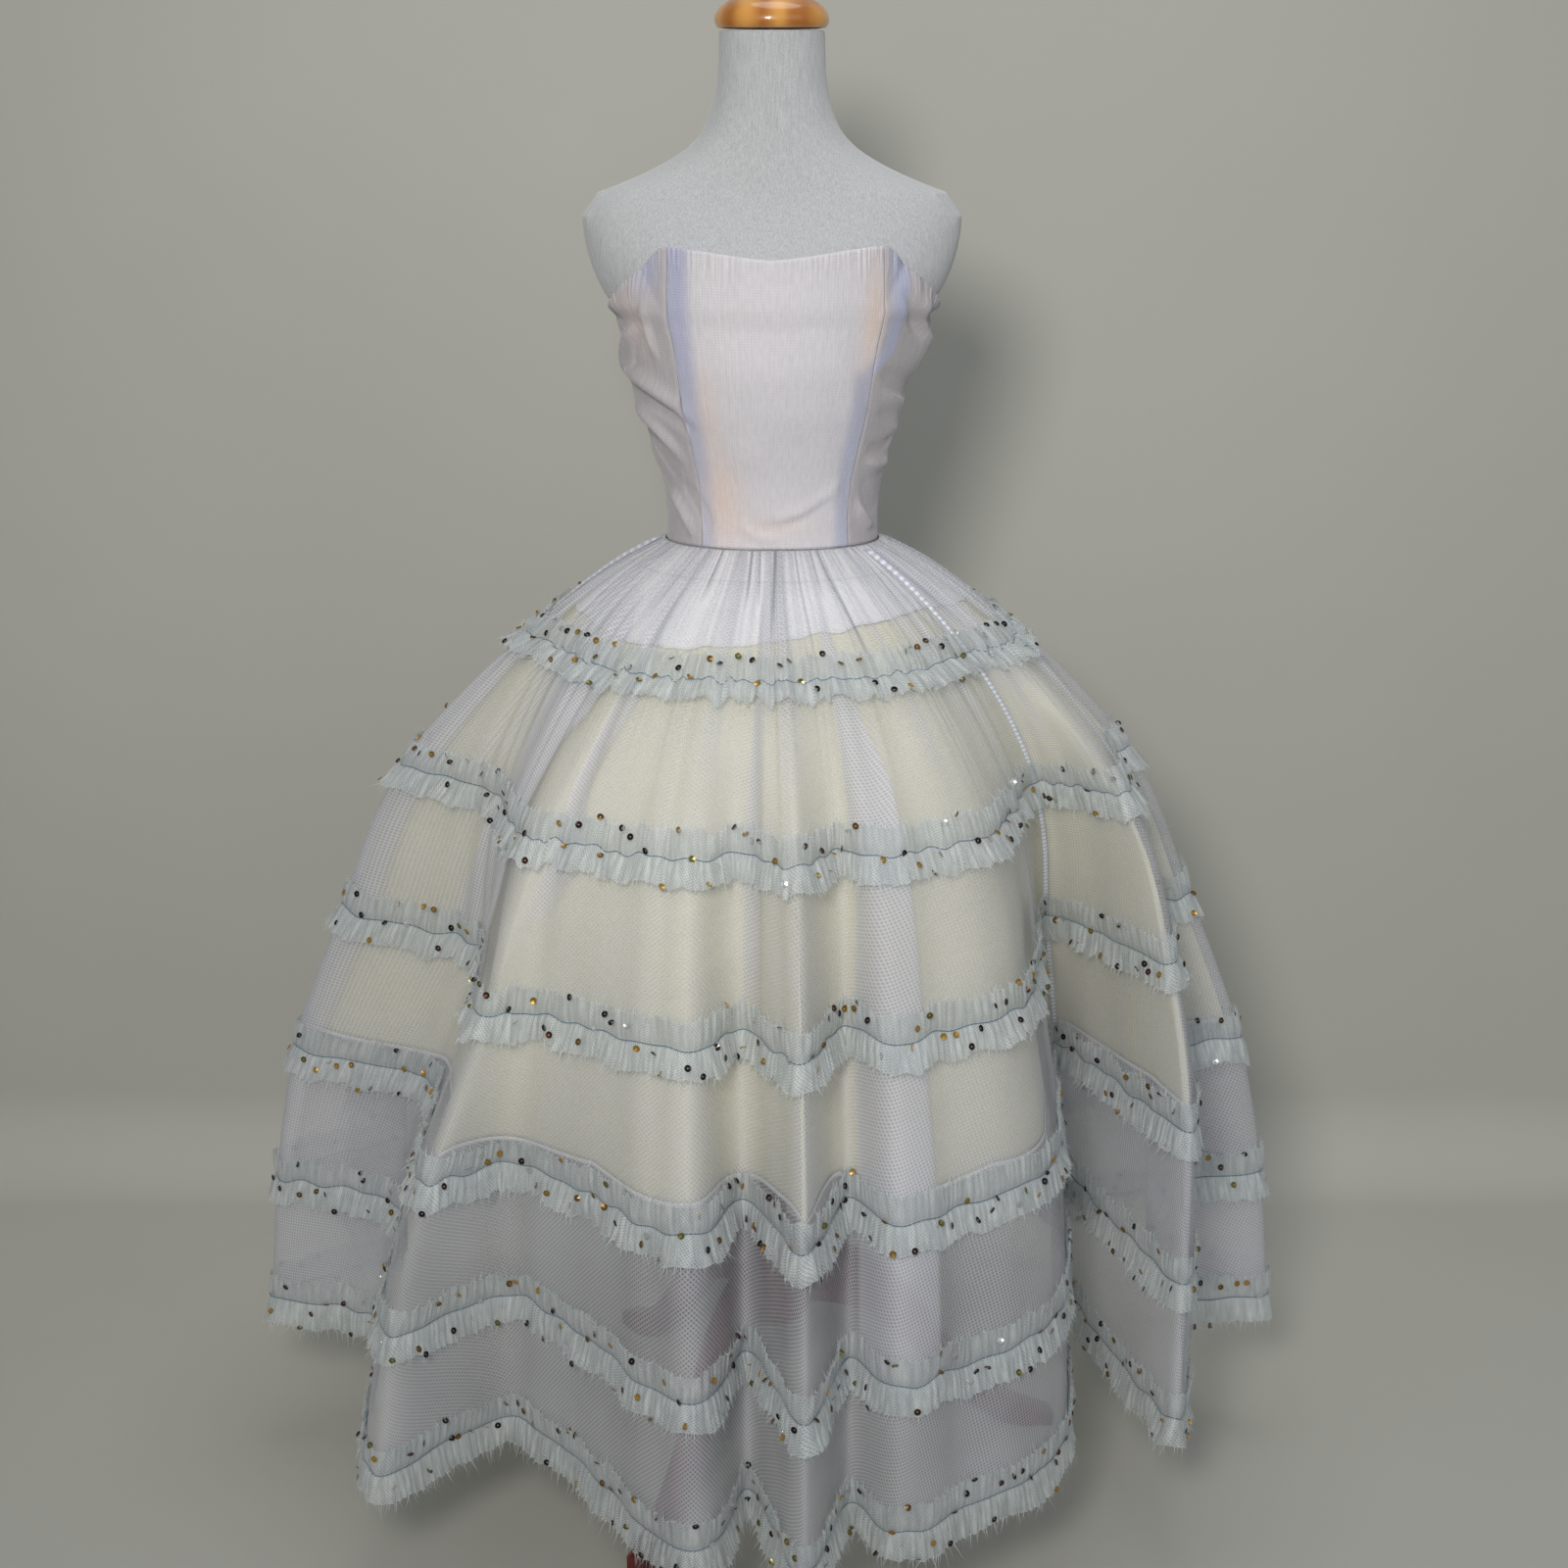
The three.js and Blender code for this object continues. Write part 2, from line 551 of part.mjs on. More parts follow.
function dressForm() {
  const angles = bodicePanels.flatMap((panel) => Array.from({ length: panel.columns },
    (_, column) => THREE.MathUtils.degToRad(panel.from + ((panel.to - panel.from) * column) / panel.columns)));
  const rings = formSections.map(({ z }) => angles.map((angle) => formPoint(z, angle)));
  addPiece('dress_form', stackGeometry(rings), colours.form);
  const boardRing = (z) => angles.map((angle) => formPoint(board.top, angle, -board.inset, z));
  addPiece('base_board', stackGeometry([boardRing(board.bottom), boardRing(board.top - seamGap)]), colours.stand);
}

function neckCap() {
  const bottom = cap.bottom + seamGap;
  const dome = (height) => new THREE.Vector2(
    cap.radius * Math.sqrt(1 - ((height - cap.rimHeight) / (cap.height - cap.rimHeight)) ** 2),
    bottom + height,
  );
  const profile = [
    new THREE.Vector2(0, bottom),
    new THREE.Vector2(cap.radius - 2.5, bottom),
    new THREE.Vector2(cap.radius, bottom + 3),
    ...[0, 0.3, 0.55, 0.75, 0.9].map((share) => dome(cap.rimHeight + share * (cap.height - cap.rimHeight))),
    new THREE.Vector2(0, bottom + cap.height),
  ];
  const geometry = new THREE.LatheGeometry(profile, cap.segments);
  geometry.rotateX(Math.PI / 2);
  addPiece('neck_cap', geometry, colours.cap, 0.25);
}

// A leg's side view: its distance from the post's axis and its height
function legOutline() {
  const outline = new THREE.Shape();
  outline.moveTo(hub.radius + seamGap, 168);
  outline.lineTo(hub.radius + seamGap, 236);
  outline.bezierCurveTo(110, 232, 150, 190, 200, 112);
  outline.bezierCurveTo(232, 62, 262, 34, leg.footOut, 16);
  outline.lineTo(leg.footOut, 0);
  outline.lineTo(leg.footIn, 0);
  outline.bezierCurveTo(240, 14, 205, 46, 172, 90);
  outline.bezierCurveTo(138, 136, 100, 166, hub.radius + seamGap, 168);
  return outline;
}

function stand() {
  const postBottom = hub.top + seamGap;
  const postTop = board.bottom - seamGap;
  const postGeometry = new THREE.CylinderGeometry(post.radius, post.radius, postTop - postBottom, post.sides);
  postGeometry.rotateX(Math.PI / 2);
  const postPiece = addPiece('post', postGeometry, colours.stand, 0.4);
  postPiece.position.z = (postTop + postBottom) / 2;

  const hubProfile = [[0, hub.bottom], [hub.radius - 6, hub.bottom], [hub.radius, hub.bottom + 10],
    [hub.radius, hub.top - 22], [hub.radius - 12, hub.top], [0, hub.top]];
  const hubGeometry = new THREE.LatheGeometry(hubProfile.map(([r, z]) => new THREE.Vector2(r, z)), hub.sides);
  hubGeometry.rotateX(Math.PI / 2);
  addPiece('hub', hubGeometry, colours.stand, 0.4);

  for (let i = 0; i < leg.count; i += 1) {
    const geometry = new THREE.ExtrudeGeometry(legOutline(), { depth: leg.width, bevelEnabled: false, curveSegments: 7 });
    geometry.translate(0, 0, -leg.width / 2);
    geometry.rotateX(Math.PI / 2);
    const piece = addPiece(`leg_${i + 1}`, geometry, colours.stand, 0.4);
    piece.rotation.z = THREE.MathUtils.degToRad(leg.firstAzimuth + i * leg.step - 90);
  }
}

dressForm();
neckCap();
stand();
bodice();
overskirt();
underskirtPieces();
ruffles();

export default dress;
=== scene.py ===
# A strapless prom dress of net over cream taffeta, on a limbless dress form with a wooden stand.
import math
import bpy
import numpy as np
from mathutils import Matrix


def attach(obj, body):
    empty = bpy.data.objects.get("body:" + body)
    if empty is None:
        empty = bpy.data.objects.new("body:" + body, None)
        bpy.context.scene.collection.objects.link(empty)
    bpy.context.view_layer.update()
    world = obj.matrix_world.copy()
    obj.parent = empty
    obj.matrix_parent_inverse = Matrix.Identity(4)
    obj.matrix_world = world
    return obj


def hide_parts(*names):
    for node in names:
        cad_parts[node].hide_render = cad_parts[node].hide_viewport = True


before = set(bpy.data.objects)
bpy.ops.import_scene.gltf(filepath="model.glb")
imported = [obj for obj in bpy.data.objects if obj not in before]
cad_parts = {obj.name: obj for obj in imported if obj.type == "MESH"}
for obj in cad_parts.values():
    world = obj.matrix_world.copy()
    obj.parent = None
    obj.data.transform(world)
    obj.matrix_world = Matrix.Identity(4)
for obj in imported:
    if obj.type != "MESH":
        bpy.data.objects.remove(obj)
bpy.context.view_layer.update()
mm = 0.001

# The camera that the photo was taken with, found from the dress form's sizes
view = {"place": (0.012, -2.620, 1.508), "tilt": 74.3, "lens": 58.5, "sensor": 36}

# The skirt's shape in millimetres, the same as in the solid model
skirt = {
    "waistHeight": 1040,
    "seamGap": 0.3,
    "waistEase": 3.9,
    # how far below the waist the cloth takes up the form's own shape
    "waistBlend": 30,
    "hemRadius": 556,
    # each fold's crest and then the valley after it: x and y at the hem, degrees from the front
    # at the waist, and how far it is pulled in x and y half way down
    "folds": [
        (-566, -5, -84, 0, 0), (-436, -72, -66, 78, -44),
        (-394, -385, -40, 32, -6), (-262, -278, -31, 0, -55),
        (-82, -522, -14, 0, 0), (-22, -415, -6, 0, 0),
        (30, -560, 3, 4, -6), (72, -440, 11, -2, 22),
        (122, -492, 16, 0, 0), (172, -458, 22, 0, 0),
        (294, -322, 34, 0, 0), (322, 12, 54, -10, 42),
        (412, -282, 75, 28, -6), (458, -40, 92, 0, 0),
        (556, 2, 102, 0, 0), (440, 118, 114, 0, 0),
        (478, 275, 126, 0, 0), (330, 232, 138, 0, 0),
        (330, 440, 152, 0, 0), (205, 345, 164, 0, 0),
        (95, 554, 180, 0, 0), (20, 425, 191, 0, 0),
        (-130, 545, 205, 0, 0), (-190, 390, 217, 0, 0),
        (-355, 430, 229, 0, 0), (-345, 285, 240, 0, 0),
        (-520, 235, 253, 0, 0), (-430, 105, 264, 0, 0),
    ],
    # drop below the waist, radius, share of the hem's folds, share of the pulls
    "rows": [
        (0, 110.5, 0, 0), (30, 163, 0.02, 0.03), (98, 253, 0.12, 0.2), (165, 325, 0.26, 0.45),
        (238, 387, 0.42, 0.7), (318, 428, 0.54, 0.9), (400, 457, 0.66, 1), (480, 488, 0.76, 0.92),
        (561, 515, 0.85, 0.7), (717, 543, 0.96, 0.3), (868, 556, 1, 0),
    ],
    # gathers sewn into the waist: how many go round, and their height by drop below the waist
    "fineGathers": 84,
    "fineHeights": [(0, 0), (2, 1.4), (20, 2.6), (45, 2.5), (90, 1.5), (150, 0.7), (240, 0), (900, 0)],
    "softGathers": 41,
    "softHeights": [(0, 0), (40, 2), (98, 3), (165, 3.2), (238, 2.8), (400, 2.4), (561, 2.2), (900, 2.2)],
    # places along the fold list where the seams lie, 2 i at crest i and 2 i + 1 at its valley
    "seams": {"left": -1, "right": 11, "back": 21},
}
hemDrop = skirt["rows"][-1][0]
foldPlaces = len(skirt["folds"])

# The dress form's level sections: height, half width, depth to the front and to the back
form = {
    "sections": [
        (700, 128, 88, 100), (740, 150, 98, 112), (800, 168, 106, 124), (850, 172, 108, 126),
        (900, 165, 105, 118), (950, 148, 98, 102), (1000, 122, 88, 88), (1040, 106.8, 82, 80),
        (1065, 106.4, 84, 81), (1100, 109.5, 91, 84), (1140, 119, 103, 90), (1185, 131, 118, 96),
        (1230, 140, 127, 100), (1267, 150, 124, 102), (1281, 166, 116, 104), (1312, 182, 102, 104),
        (1341, 189.6, 88, 100), (1365, 191.6, 76, 92), (1388, 175.5, 66, 82), (1400, 142.5, 63, 76),
        (1415, 110, 60, 70), (1429, 86.6, 57, 64), (1443, 72.3, 55, 58), (1458, 63.4, 53, 55),
        (1488, 53.5, 51, 51), (1544, 52.7, 50, 50),
    ],
    "roundness": 2.2,
}


def deselectAll():
    if bpy.context.object and bpy.context.object.mode != "OBJECT":
        bpy.ops.object.mode_set(mode="OBJECT")
    bpy.ops.object.select_all(action="DESELECT")


def makeActive(piece):
    deselectAll()
    piece.select_set(True)
    bpy.context.view_layer.objects.active = piece


def applyModifier(piece, kind, **settings):
    makeActive(piece)
    modifier = piece.modifiers.new(kind.title(), kind)
    for key, value in settings.items():
        setattr(modifier, key, value)
    bpy.ops.object.modifier_apply(modifier=modifier.name)


def unit(vectors):
    return vectors / np.linalg.norm(vectors, axis=-1, keepdims=True)


# Opens a piece in edit mode with just the faces selected whose normal passes
def editFaces(piece, passes):
    makeActive(piece)
    bpy.ops.object.mode_set(mode="EDIT")
    bpy.ops.mesh.select_all(action="DESELECT")
    bpy.ops.object.mode_set(mode="OBJECT")
    for face in piece.data.polygons:
        face.select = passes(face.normal)
    bpy.ops.object.mode_set(mode="EDIT")


# A smooth line through one column of a table, by the table's first column; it never overshoots the values
def smoothLine(table, values, column=1):
    xs, ys = np.array(table, float).T[[0, column]]
    gaps = np.diff(xs)
    slopes = np.diff(ys) / gaps
    together = slopes[:-1] * slopes[1:]
    total = np.where(together > 0, slopes[:-1] + slopes[1:], 1)
    inner = np.where(together > 0, 2 * together / total, 0)
    tangents = np.concatenate([slopes[:1], inner, slopes[-1:]])
    values = np.clip(values, xs[0], xs[-1])
    i = np.clip(np.searchsorted(xs, values) - 1, 0, len(gaps) - 1)
    span = gaps[i]
    t = (values - xs[i]) / span
    rise = ys[i] * (2 * t**3 - 3 * t**2 + 1) + ys[i + 1] * (3 * t**2 - 2 * t**3)
    return rise + span * (tangents[i] * (t**3 - 2 * t**2 + t) + tangents[i + 1] * (t**3 - t**2))


# Uneven waves that close after one turn, between -1 and 1
def unevenWaves(turn, slowest, fastest, seed):
    rng = np.random.default_rng(seed)
    waves = [np.sin(2 * np.pi * (k * turn + rng.random())) * rng.uniform(0.5, 1)
             for k in range(slowest, fastest + 1)]
    return sum(waves) / math.sqrt(len(waves)) * 0.9


def formSize(height, column):
    return smoothLine(form["sections"], height, column)


def formPoints(height, angle, ease, z):
    power = 2 / form["roundness"]
    sine, cosine = np.sin(angle), np.cos(angle)
    depth = np.where(cosine > 0, formSize(height, 2), formSize(height, 3)) + ease
    x = (formSize(height, 1) + ease) * np.sign(sine) * np.abs(sine)**power
    y = -depth * np.sign(cosine) * np.abs(cosine)**power
    return np.stack([x, y, np.broadcast_to(z, x.shape)], axis=-1)


# The fold list read at any place along it, on a smooth closed curve through its points
def foldValues(place):
    table = np.array(skirt["folds"], float)
    whole = np.floor(place).astype(int)
    t = (place - whole)[..., None]

    def near(step):
        index = whole + step
        rows = table[index % len(table)]
        rows[..., 2] += 360 * (index // len(table))
        return rows

    p, q, r, s = near(-1), near(0), near(1), near(2)
    return 0.5 * (2 * q + (r - p) * t + (2 * p - 5 * q + 4 * r - s) * t**2 + (3 * q - p - 3 * r + s) * t**3)


# The skirt's cloth line at places along the fold list and drops below the waist
def skirtPoints(place, drop):
    x, y, turn, pullX, pullY = np.moveaxis(foldValues(place), -1, 0)
    angle = np.radians(turn)
    radius, share, pull = [smoothLine(skirt["rows"], drop, column) for column in (1, 2, 3)]
    plain, folded = (1 - share) * radius, share * radius / skirt["hemRadius"]
    points = np.stack([
        plain * np.sin(angle) + folded * x + pull * pullX,
        -plain * np.cos(angle) + folded * y + pull * pullY,
        skirt["waistHeight"] - skirt["seamGap"] - drop + 0 * angle,
    ], axis=-1)
    waist = formPoints(np.full(angle.shape, float(skirt["waistHeight"])), angle, skirt["waistEase"], 0)
    ringRadius = skirt["rows"][0][1]
    ring = np.stack([ringRadius * np.sin(angle), -ringRadius * np.cos(angle), 0 * angle], axis=-1)
    near = np.clip(1 - drop / skirt["waistBlend"], 0, 1)[..., None]**1.5
    return points + (waist - ring) * near


def skirtNormals(place, drop):
    along = skirtPoints(place + 0.01, drop) - skirtPoints(place - 0.01, drop)
    low, high = np.minimum(drop + 1, hemDrop), np.maximum(drop - 1, 0)
    level = np.clip(1 - drop / 12, 0, 1)[..., None]
    down = unit(skirtPoints(place, low) - skirtPoints(place, high))
    down = down * (1 - level) + np.array([0, 0, -1]) * level
    return unit(np.cross(down, along))


# How far round the skirt each place is, from 0 to 1: half by the hem's length, half by the waist's turn
places = np.linspace(-foldPlaces, 2 * foldPlaces, 3 * foldPlaces * 60 + 1)
foldTable = foldValues(places)
steps = np.linalg.norm(np.diff(foldTable[:, :2], axis=0), axis=1)
hemRun = np.concatenate([[0], np.cumsum(steps)])
hemLength = hemRun[np.searchsorted(places, 0)] - hemRun[0]
rounds = 0.5 * hemRun / hemLength + 0.5 * (foldTable[:, 2] - foldTable[0, 2]) / 360
rounds -= np.interp(0, places, rounds)

# The length down the cloth at each drop
profileDrops = np.linspace(0, hemDrop, hemDrop + 1)
profileRadii = smoothLine(skirt["rows"], profileDrops)
profileLengths = np.concatenate([[0], np.cumsum(np.hypot(np.diff(profileRadii), 1))])
clothLength = profileLengths[-1]


def roundOf(place):
    return np.interp(place, places, rounds)


def placeOf(turn):
    return np.interp(turn, rounds, places)


# Where the small gathers crest: 1 on a crest, 0 in a hollow, uneven round the waist
def gatherCrest(turn):
    phase = skirt["fineGathers"] * turn + 0.75 * unevenWaves(turn, 12, 46, 12)
    return 0.5 + 0.5 * np.cos(2 * np.pi * phase)


# The gathers' height above the cloth line: crests are narrow and high, hollows shallow
def gatherHeight(turn, drop):
    reach = 1 + 0.45 * unevenWaves(turn, 9, 40, 11)
    fineSize = smoothLine(skirt["fineHeights"], drop / reach) * (1 + 0.4 * unevenWaves(turn, 15, 70, 13))
    drift = 0.25 * unevenWaves(turn, 3, 9, 14) * np.sin(drop / 170)
    softPhase = skirt["softGathers"] * turn + 0.5 * unevenWaves(turn, 6, 22, 15) + drift
    softSize = smoothLine(skirt["softHeights"], drop) * (1 + 0.5 * unevenWaves(turn, 5, 31, 16))
    fine = 1.3 * gatherCrest(turn) - 0.3
    soft = 0.35 + 0.65 * np.cos(2 * np.pi * softPhase)
    return fine * fineSize + soft * softSize


def netPoints(place, drop, above=0):
    height = gatherHeight(roundOf(place), drop) + above
    return skirtPoints(place, drop) + skirtNormals(place, drop) * height[..., None]


# Flat cut of the gores: sectors of nearly three quarters of a circle, in metres
cut = {"waistRadius": 0.14, "fullTurn": 4.5}


def cutPlaces(turn, drop, middle):
    length = np.interp(drop, profileDrops, profileLengths) * mm
    radius, angle = cut["waistRadius"] + length, cut["fullTurn"] * (turn - middle)
    return np.stack([radius * np.sin(angle), -radius * np.cos(angle)], axis=-1)


# A piece from points in metres; uv is its flat cut, and marks are values at its points
def newPiece(name, points, faces, uv=None, marks=None, smooth=True):
    mesh = bpy.data.meshes.new(name)
    mesh.from_pydata(points.tolist(), [], faces)
    if uv is not None:
        corners = np.zeros(len(mesh.loops), dtype=np.int32)
        mesh.loops.foreach_get("vertex_index", corners)
        layer = mesh.uv_layers.new(name="cut")
        layer.uv.foreach_set("vector", uv[corners].astype(np.float32).ravel())
    for mark, values in (marks or {}).items():
        kind, key = ("FLOAT_COLOR", "color") if values.ndim == 2 else ("FLOAT", "value")
        attribute = mesh.attributes.new(mark, kind, "POINT")
        attribute.data.foreach_set(key, values.astype(np.float32).ravel())
    if smooth:
        mesh.shade_smooth()
    piece = bpy.data.objects.new(name, mesh)
    bpy.context.scene.collection.objects.link(piece)
    return piece


def gridFaces(rowCount, columnCount, closed):
    spans = columnCount if closed else columnCount - 1
    row, column = np.meshgrid(np.arange(rowCount - 1), np.arange(spans), indexing="ij")
    after = (column + 1) % columnCount
    corners = [row * columnCount + column, (row + 1) * columnCount + column,
               (row + 1) * columnCount + after, row * columnCount + after]
    return np.stack(corners, axis=-1).reshape(-1, 4).tolist()


# A cloth piece from a grid of points in millimetres, rows from top to bottom
def clothPiece(name, grid, uv=None, marks=None, closed=False):
    flatUv = None if uv is None else uv.reshape(-1, 2)
    flatMarks = {mark: values.reshape(-1, *values.shape[2:]) for mark, values in (marks or {}).items()}
    return newPiece(name, grid.reshape(-1, 3) * mm, gridFaces(*grid.shape[:2], closed), flatUv, flatMarks)


# Copies of one small modelled piece, each set at its own place and turned by its own axes
def setCopies(name, pattern, origins, axes, tones=None):
    base = np.array([vertex.co for vertex in pattern.data.vertices])
    points = origins[:, None, :] * mm + np.einsum("pj,njk->npk", base, axes)
    patternFaces = [list(face.vertices) for face in pattern.data.polygons]
    starts = range(0, len(origins) * len(base), len(base))
    faces = [[i + start for i in face] for start in starts for face in patternFaces]
    marks = {} if tones is None else {"tone": np.repeat(tones, len(base), axis=0)}
    return newPiece(name, points.reshape(-1, 3), faces, marks=marks, smooth=False)


# Materials


def colour(hexCode):
    parts = [int(hexCode[i:i + 2], 16) / 255 for i in (1, 3, 5)]
    linear = [part / 12.92 if part <= 0.04045 else ((part + 0.055) / 1.055)**2.4 for part in parts]
    return (*linear, 1)


# Adds a node with its settings and the links into it, and gives the output that is used
def addNode(material, kind, settings=None, links=None, output=0):
    node = material.node_tree.nodes.new("ShaderNode" + kind)
    for key, value in (settings or {}).items():
        if isinstance(key, int) or key in node.inputs:
            node.inputs[key].default_value = value
        else:
            setattr(node, key, value)
    for key, source in (links or {}).items():
        material.node_tree.links.new(source, node.inputs[key])
    return node.outputs[output]


def newMaterial(name, settings):
    material = bpy.data.materials.new(name)
    material.use_nodes = True
    for key, value in settings.items():
        material.node_tree.nodes["Principled BSDF"].inputs[key].default_value = value
    return material


def linkShader(material, **sources):
    shader = material.node_tree.nodes["Principled BSDF"]
    for key, source in sources.items():
        material.node_tree.links.new(source, shader.inputs[key.replace("_", " ")])
    return material


def finish(piece, material, replaced=()):
    piece.data.materials.clear()
    piece.data.materials.append(material)
    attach(piece, "root")
    if replaced:
        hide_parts(*replaced)
    return piece


# Threads crossing at right angles: one where a thread lies, none in the holes
def crossedThreads(material, coordinates, pitch, turn, joined):
    turned = addNode(material, "Mapping", {"Rotation": (0, 0, math.radians(turn))}, {"Vector": coordinates})
    bands = {"wave_type": "BANDS", "Scale": math.pi / 10 / pitch}
    warp, weft = [
        addNode(material, "TexWave", {**bands, "bands_direction": direction}, {"Vector": turned}, "Fac")
        for direction in ("X", "Y")
    ]
    return addNode(material, "Math", {"operation": joined}, {0: warp, 1: weft})


# Woven nylon net: see-through, pale lavender blue, with crossed threads that show as a fine diagonal grid.
# The real threads lie 1.2 mm apart; they are drawn 3.4 mm apart so that they show.
def makeOverskirtNet():
    material = newMaterial("overskirtNylonNet", {
        "Roughness": 0.75, "Specular IOR Level": 0.2, "Sheen Weight": 0.15, "Sheen Roughness": 0.5})
    uv = addNode(material, "UVMap", {"uv_map": "cut"})
    thread = crossedThreads(material, uv, 0.0034, 45, "MAXIMUM")
    lines = addNode(material, "Math", {"operation": "POWER", 1: 2.5}, {0: thread})
    cloud = addNode(material, "TexNoise", {"Scale": 9, "Detail": 3}, {"Vector": uv})
    layers = addNode(material, "Attribute", {"attribute_name": "layers"}, output="Fac")
    holes = addNode(material, "MapRange", {"To Min": 0.26, "To Max": 0.47}, {"Value": lines})
    uneven = addNode(material, "MapRange",
                     {"From Min": 0.3, "From Max": 0.7, "To Min": -0.05, "To Max": 0.05}, {"Value": cloud})
    body = addNode(material, "Math", {"operation": "ADD"}, {0: holes, 1: uneven})
    # doubled and gathered net lets less through
    openShare = addNode(material, "Math", {"operation": "SUBTRACT", 0: 1.0}, {1: body})
    thin = addNode(material, "Math", {"operation": "POWER"}, {0: openShare, 1: layers})
    alpha = addNode(material, "Math", {"operation": "SUBTRACT", 0: 1.0, "use_clamp": True}, {1: thin})
    tint = addNode(material, "Mix", {"data_type": "RGBA", 6: colour("#c8cbd5"), 7: colour("#dfe0e6")},
                   {0: lines}, output=2)
    # painted shade: the net's colour is darkened where the cloth tucks into itself beside a gather
    paintedTuckShade = addNode(material, "Attribute", {"attribute_name": "paintedTuckShade"}, output="Fac")
    folded = addNode(material, "Mix", {"data_type": "RGBA", 7: colour("#7f8698")},
                     {0: paintedTuckShade, 6: tint}, output=2)
    bump = addNode(material, "Bump", {"Strength": 0.25, "Distance": 0.0004}, {"Height": thread})
    return linkShader(material, Base_Color=folded, Alpha=alpha, Normal=bump)


# Stiff net cut in strips: pale aqua and half see-through, crossed threads and gathers show, the edge is worn.
# The real threads lie 0.8 mm apart; they are drawn 2 mm apart so that they show.
def makeRuffleNet():
    material = newMaterial("ruffleStiffNet", {
        "Roughness": 0.7, "Specular IOR Level": 0.25, "Sheen Weight": 0.25, "Sheen Roughness": 0.5})
    uv = addNode(material, "UVMap", {"uv_map": "cut"})
    thread = crossedThreads(material, uv, 0.002, 32, "MAXIMUM")
    # gathers about 5 mm apart along the strip and as long as half of it is wide
    stretched = addNode(material, "Mapping", {"Scale": (210, 30, 1)}, {"Vector": uv})
    pleats = addNode(material, "TexNoise", {"Scale": 1, "Detail": 3, "Roughness": 0.6},
                     {"Vector": stretched})
    fine = addNode(material, "TexNoise", {"Scale": 700, "Detail": 2}, {"Vector": uv})
    edge = addNode(material, "Attribute", {"attribute_name": "edge"}, output="Fac")
    mixed = addNode(material, "Math", {"operation": "MULTIPLY_ADD", 1: 0.35}, {0: thread, 2: pleats})
    body = addNode(material, "Math", {"operation": "MULTIPLY_ADD", 1: 0.25}, {0: fine, 2: mixed})
    shade = addNode(material, "MapRange", {"From Min": 0.5, "From Max": 1.1}, {"Value": body})
    tint = addNode(material, "Mix", {"data_type": "RGBA", 6: colour("#acb9c0"), 7: colour("#dfe6e6")},
                   {0: shade}, output=2)
    gaps = addNode(material, "MapRange", {"From Min": 0.5, "From Max": 1.1, "To Min": 0.3, "To Max": 0.84},
                   {"Value": body})
    worn = addNode(material, "MapRange", {"From Min": 0, "From Max": 1, "To Min": 1, "To Max": 0.62},
                   {"Value": edge})
    alpha = addNode(material, "Math", {"operation": "MULTIPLY", "use_clamp": True},
                    {0: gaps, 1: worn})
    bump = addNode(material, "Bump", {"Strength": 0.45, "Distance": 0.0008}, {"Height": body})
    return linkShader(material, Base_Color=tint, Alpha=alpha, Normal=bump)


# Acetate taffeta: closed plain weave with a soft shine; threads of 0.3 mm are drawn 1.4 mm apart
def makeTaffeta(name, deep, pale, sheen):
    material = newMaterial(name, {
        "Roughness": 0.48, "Specular IOR Level": 0.4, "Sheen Weight": sheen, "Sheen Roughness": 0.35})
    uv = addNode(material, "UVMap", {"uv_map": "cut"})
    weave = crossedThreads(material, uv, 0.0014, 0, "SUBTRACT")
    cloud = addNode(material, "TexNoise", {"Scale": 14, "Detail": 4}, {"Vector": uv})
    creases = addNode(material, "TexNoise", {"Scale": 26, "Detail": 3, "Distortion": 1.2}, {"Vector": uv})
    tint = addNode(material, "Mix", {"data_type": "RGBA", 6: colour(deep), 7: colour(pale)}, {0: cloud},
                   output=2)
    fine = addNode(material, "Bump", {"Strength": 0.12, "Distance": 0.0003}, {"Height": weave})
    soft = addNode(material, "Bump", {"Strength": 0.35, "Distance": 0.004},
                   {"Height": creases, "Normal": fine})
    return linkShader(material, Base_Color=tint, Normal=soft)


# Crinkled chiffon over a lining: a fine grid of threads and upright crinkles. The real threads lie 0.3 mm
# apart; they are drawn 2.6 mm apart so that they show.
def makeChiffon():
    material = newMaterial("bodiceCrinkledChiffon", {
        "Roughness": 0.6, "Specular IOR Level": 0.35, "Sheen Weight": 0.3, "Sheen Roughness": 0.4})
    uv = addNode(material, "UVMap", {"uv_map": "cut"})
    tone = addNode(material, "Attribute", {"attribute_name": "tone"})
    upright = addNode(material, "Mapping", {"Scale": (420, 75, 1)}, {"Vector": uv})
    ribs = addNode(material, "TexNoise", {"Scale": 1, "Detail": 3}, {"Vector": upright})
    weave = crossedThreads(material, uv, 0.0026, 2, "ADD")
    both = addNode(material, "Math", {"operation": "MULTIPLY_ADD", 1: 0.12},
                   {0: weave, 2: ribs})
    shade = addNode(material, "MapRange",
                    {"From Min": 0.38, "From Max": 0.86, "To Min": 0.91, "To Max": 1.02}, {"Value": both})
    tint = addNode(material, "VectorMath", {"operation": "SCALE"}, {0: tone, "Scale": shade})
    fine = addNode(material, "Bump", {"Strength": 0.3, "Distance": 0.0004}, {"Height": weave})
    bump = addNode(material, "Bump", {"Strength": 0.35, "Distance": 0.0012},
                   {"Height": ribs, "Normal": fine})
    return linkShader(material, Base_Color=tint, Normal=bump)


